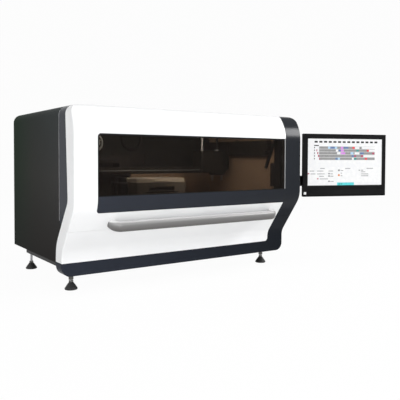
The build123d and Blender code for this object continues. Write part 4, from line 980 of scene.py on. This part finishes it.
def screen_content():
    tiles("ui_rows", [area(0.155, 0.90, y, y + ROW_DEPTH) for y in ROW_TOPS], UI_GREY, 0.25)
    panels = (
        (0.09, 0.90, 0.46, 0.51), (0.66, 0.98, 0.60, 0.93), (0.40, 0.64, 0.60, 0.90),
        (0.03, 0.375, 0.60, 0.93),
    )
    tiles("ui_panels", [area(*panel) for panel in panels], UI_PALE, 0.2)
    labels = [area(0.095 + 0.0615 * k, 0.135 + 0.0615 * k, 0.052, 0.088) for k in range(14)]
    tiles("ui_labels", labels + [area(0.09, 0.15, 0.138, 0.158)], UI_DARK, 0.4)
    tiles("ui_marks", [area(0.09, 0.10, y + 0.012, y + 0.04) for y in ROW_TOPS], UI_DARK, 0.4)
    bars("ui_bars_white", SCREEN, (
        (0, 0.63, 0.69), (0, 0.72, 0.90), (1, 0.375, 0.405), (1, 0.82, 0.90), (2, 0.39, 0.435),
        (2, 0.625, 0.69), (3, 0.745, 0.90), (4, 0.59, 0.615),
    ))
    bars("ui_bars_blue", UI_BLUE, (
        (0, 0.30, 0.36), (0, 0.48, 0.54), (1, 0.41, 0.44), (3, 0.585, 0.615), (2, 0.70, 0.75),
        (4, 0.37, 0.40),
    ))
    bars("ui_bars_sky", UI_SKY, ((0, 0.27, 0.30), (0, 0.36, 0.39), (4, 0.40, 0.43), (2, 0.57, 0.61)))
    bars("ui_bars_violet", UI_VIOLET, ((0, 0.44, 0.47), (1, 0.44, 0.48), (2, 0.44, 0.50)))
    bars("ui_bars_red", UI_RED, ((0, 0.595, 0.625), (1, 0.79, 0.82), (4, 0.765, 0.795)))
    bars("ui_bars_wine", UI_WINE, (
        (2, 0.865, 0.895), (3, 0.71, 0.74), (3, 0.62, 0.645), (1, 0.12, 0.13), (2, 0.13, 0.145),
        (3, 0.14, 0.155), (4, 0.155, 0.165),
    ))
    bars("ui_bars_green", UI_GREEN, ((1, 0.65, 0.68), (4, 0.62, 0.65)))
    tiles("ui_button", [area(0.395, 0.62, 0.925, 0.99)], UI_TEAL, 0.4)
    marks = [area(x0, x1, 0.945, 0.97) for x0, x1 in ((0.415, 0.43), (0.44, 0.465))]
    tiles("ui_button_marks", marks, UI_GREEN, 0.6)
    words("ui_heads", ((0.17, 0.62, 0.06), (0.50, 0.62, 0.07), (0.79, 0.62, 0.09)))
    words("ui_words_left", (
        (0.035, 0.675, 0.06), (0.13, 0.675, 0.085), (0.28, 0.675, 0.06), (0.045, 0.735, 0.065),
        (0.13, 0.735, 0.10), (0.16, 0.785, 0.06), (0.165, 0.84, 0.11), (0.305, 0.735, 0.03),
        (0.305, 0.785, 0.04), (0.305, 0.895, 0.045),
    ))
    words("ui_words_middle", ((0.44, 0.665, 0.035), (0.44, 0.72, 0.02), (0.44, 0.775, 0.025)))
    words("ui_words_right", (
        (0.68, 0.66, 0.025), (0.715, 0.66, 0.03), (0.715, 0.695, 0.06), (0.715, 0.74, 0.10),
        (0.715, 0.78, 0.10),
    ))
    spots = [area(0.275, 0.30, y, y + 0.027) for y in (0.725, 0.775, 0.885)]
    tiles("ui_spots", spots + [area(0.405, 0.43, 0.65, 0.685)], UI_MID, 0.4)
    tiles("ui_spots_warm", [area(0.405, 0.43, 0.75, 0.79)], UI_ORANGE, 0.4)
    tiles("ui_spots_wine", [area(0.01, 0.03, 0.725, 0.75), area(0.13, 0.15, 0.832, 0.856)], UI_WINE, 0.4)


display_chin()
screen_border()
display_back()
screen_content()


# Floor, backdrop and light
def seen_directly(tree):
    """1 for rays straight from the camera, or by way of gloss or glass, and 0 for the rest."""
    path = tree.nodes.new("ShaderNodeLightPath")
    total = path.outputs["Is Camera Ray"]
    for name in ("Is Glossy Ray", "Is Transmission Ray"):
        adding = tree.nodes.new("ShaderNodeMath")
        adding.operation = "ADD"
        adding.use_clamp = True
        tree.links.new(total, adding.inputs[0])
        tree.links.new(path.outputs[name], adding.inputs[1])
        total = adding.outputs[0]
    return total


FLOOR_SHARE = 0.965
WORLD_LIGHT = 0.37


def stage_floor():
    """A sheet of white paper that curves up behind; it keeps part of the object's shadow."""
    front, bend, rise, top, half_width = -9, 6, 3, 12, 16
    rows = [(front, 0)] + arc(bend, rise, rise, -90, 0, steps=12) + [(bend + rise, top)]
    verts = [(x, y, CAD_LOW.z + z) for y, z in rows for x in (-half_width, half_width)]
    faces = [(2 * k, 2 * k + 1, 2 * k + 3, 2 * k + 2) for k in range(len(rows) - 1)]
    mesh = bpy.data.meshes.new("floor")
    mesh.from_pydata(verts, [], faces)
    mesh.polygons.foreach_set("use_smooth", [True] * len(mesh.polygons))
    made = bpy.data.objects.new("floor", mesh)
    bpy.context.scene.collection.objects.link(made)
    made.rotation_euler = (0, 0, math.radians(CAMERA_YAW))
    look = Shader("floor_paper")
    look.link(look.mottled(grey(0.90), grey(0.92), 1.5), look.shader.inputs["Base Color"])
    look.finish((0.85, 0.9), Specular_IOR_Level=0.05)
    glow = look.node("Emission", Strength=1.0)
    share = look.node("Math", operation="MULTIPLY")
    look.link(seen_directly(look.tree), share.inputs[0])
    share.inputs[1].default_value = FLOOR_SHARE
    blend = look.node("MixShader")
    look.link(share.outputs[0], blend.inputs["Fac"])
    look.link(look.shader.outputs[0], blend.inputs[1])
    look.link(glow.outputs[0], blend.inputs[2])
    look.link(blend.outputs[0], look.tree.nodes["Material Output"].inputs["Surface"])
    mesh.materials.append(look.material)


def studio_world(strength):
    """White to the camera and in gloss and glass, and a plain soft light on the rest."""
    world = bpy.data.worlds.new("studio")
    bpy.context.scene.world = world
    world.use_nodes = True
    tree = world.node_tree
    background = tree.nodes["Background"]
    background.inputs["Color"].default_value = (1, 1, 1, 1)
    spread = tree.nodes.new("ShaderNodeMapRange")
    spread.inputs["To Min"].default_value = strength
    spread.inputs["To Max"].default_value = 1.0
    tree.links.new(seen_directly(tree), spread.inputs["Value"])
    tree.links.new(spread.outputs["Result"], background.inputs["Strength"])


def lamp(name, place, target, size, watts, colour=(1, 1, 1)):
    """A rectangular lamp of a size in metres at a place, aimed at a target."""
    data = bpy.data.lights.new(name, "AREA")
    data.shape = "RECTANGLE"
    data.size, data.size_y = size
    data.energy = watts
    data.color = colour
    made = bpy.data.objects.new(name, data)
    bpy.context.scene.collection.objects.link(made)
    made.location = place
    made.rotation_euler = (Vector(target) - Vector(place)).to_track_quat("-Z", "Y").to_euler()


stage_floor()
studio_world(WORLD_LIGHT)
lamp("key", mm(2510, -1850, 1700), mm(300, 0, 500), (0.9, 0.9), 46)
lamp("front", mm(-1150, -2700, 350), mm(-100, 0, 350), (1.8, 1.0), 38)
lamp("left", mm(-3300, -1100, 1400), mm(-500, 0, 450), (1.6, 1.6), 30)
lamp("top", mm(200, -900, 3000), mm(0, -100, 500), (1.6, 1.0), 20)
lamp("inside", mm(60, 40, 690), mm(200, 330, 400), (0.8, 0.04), 4.2, (1, 0.86, 0.70))

bpy.context.scene.view_settings.view_transform = "Standard"
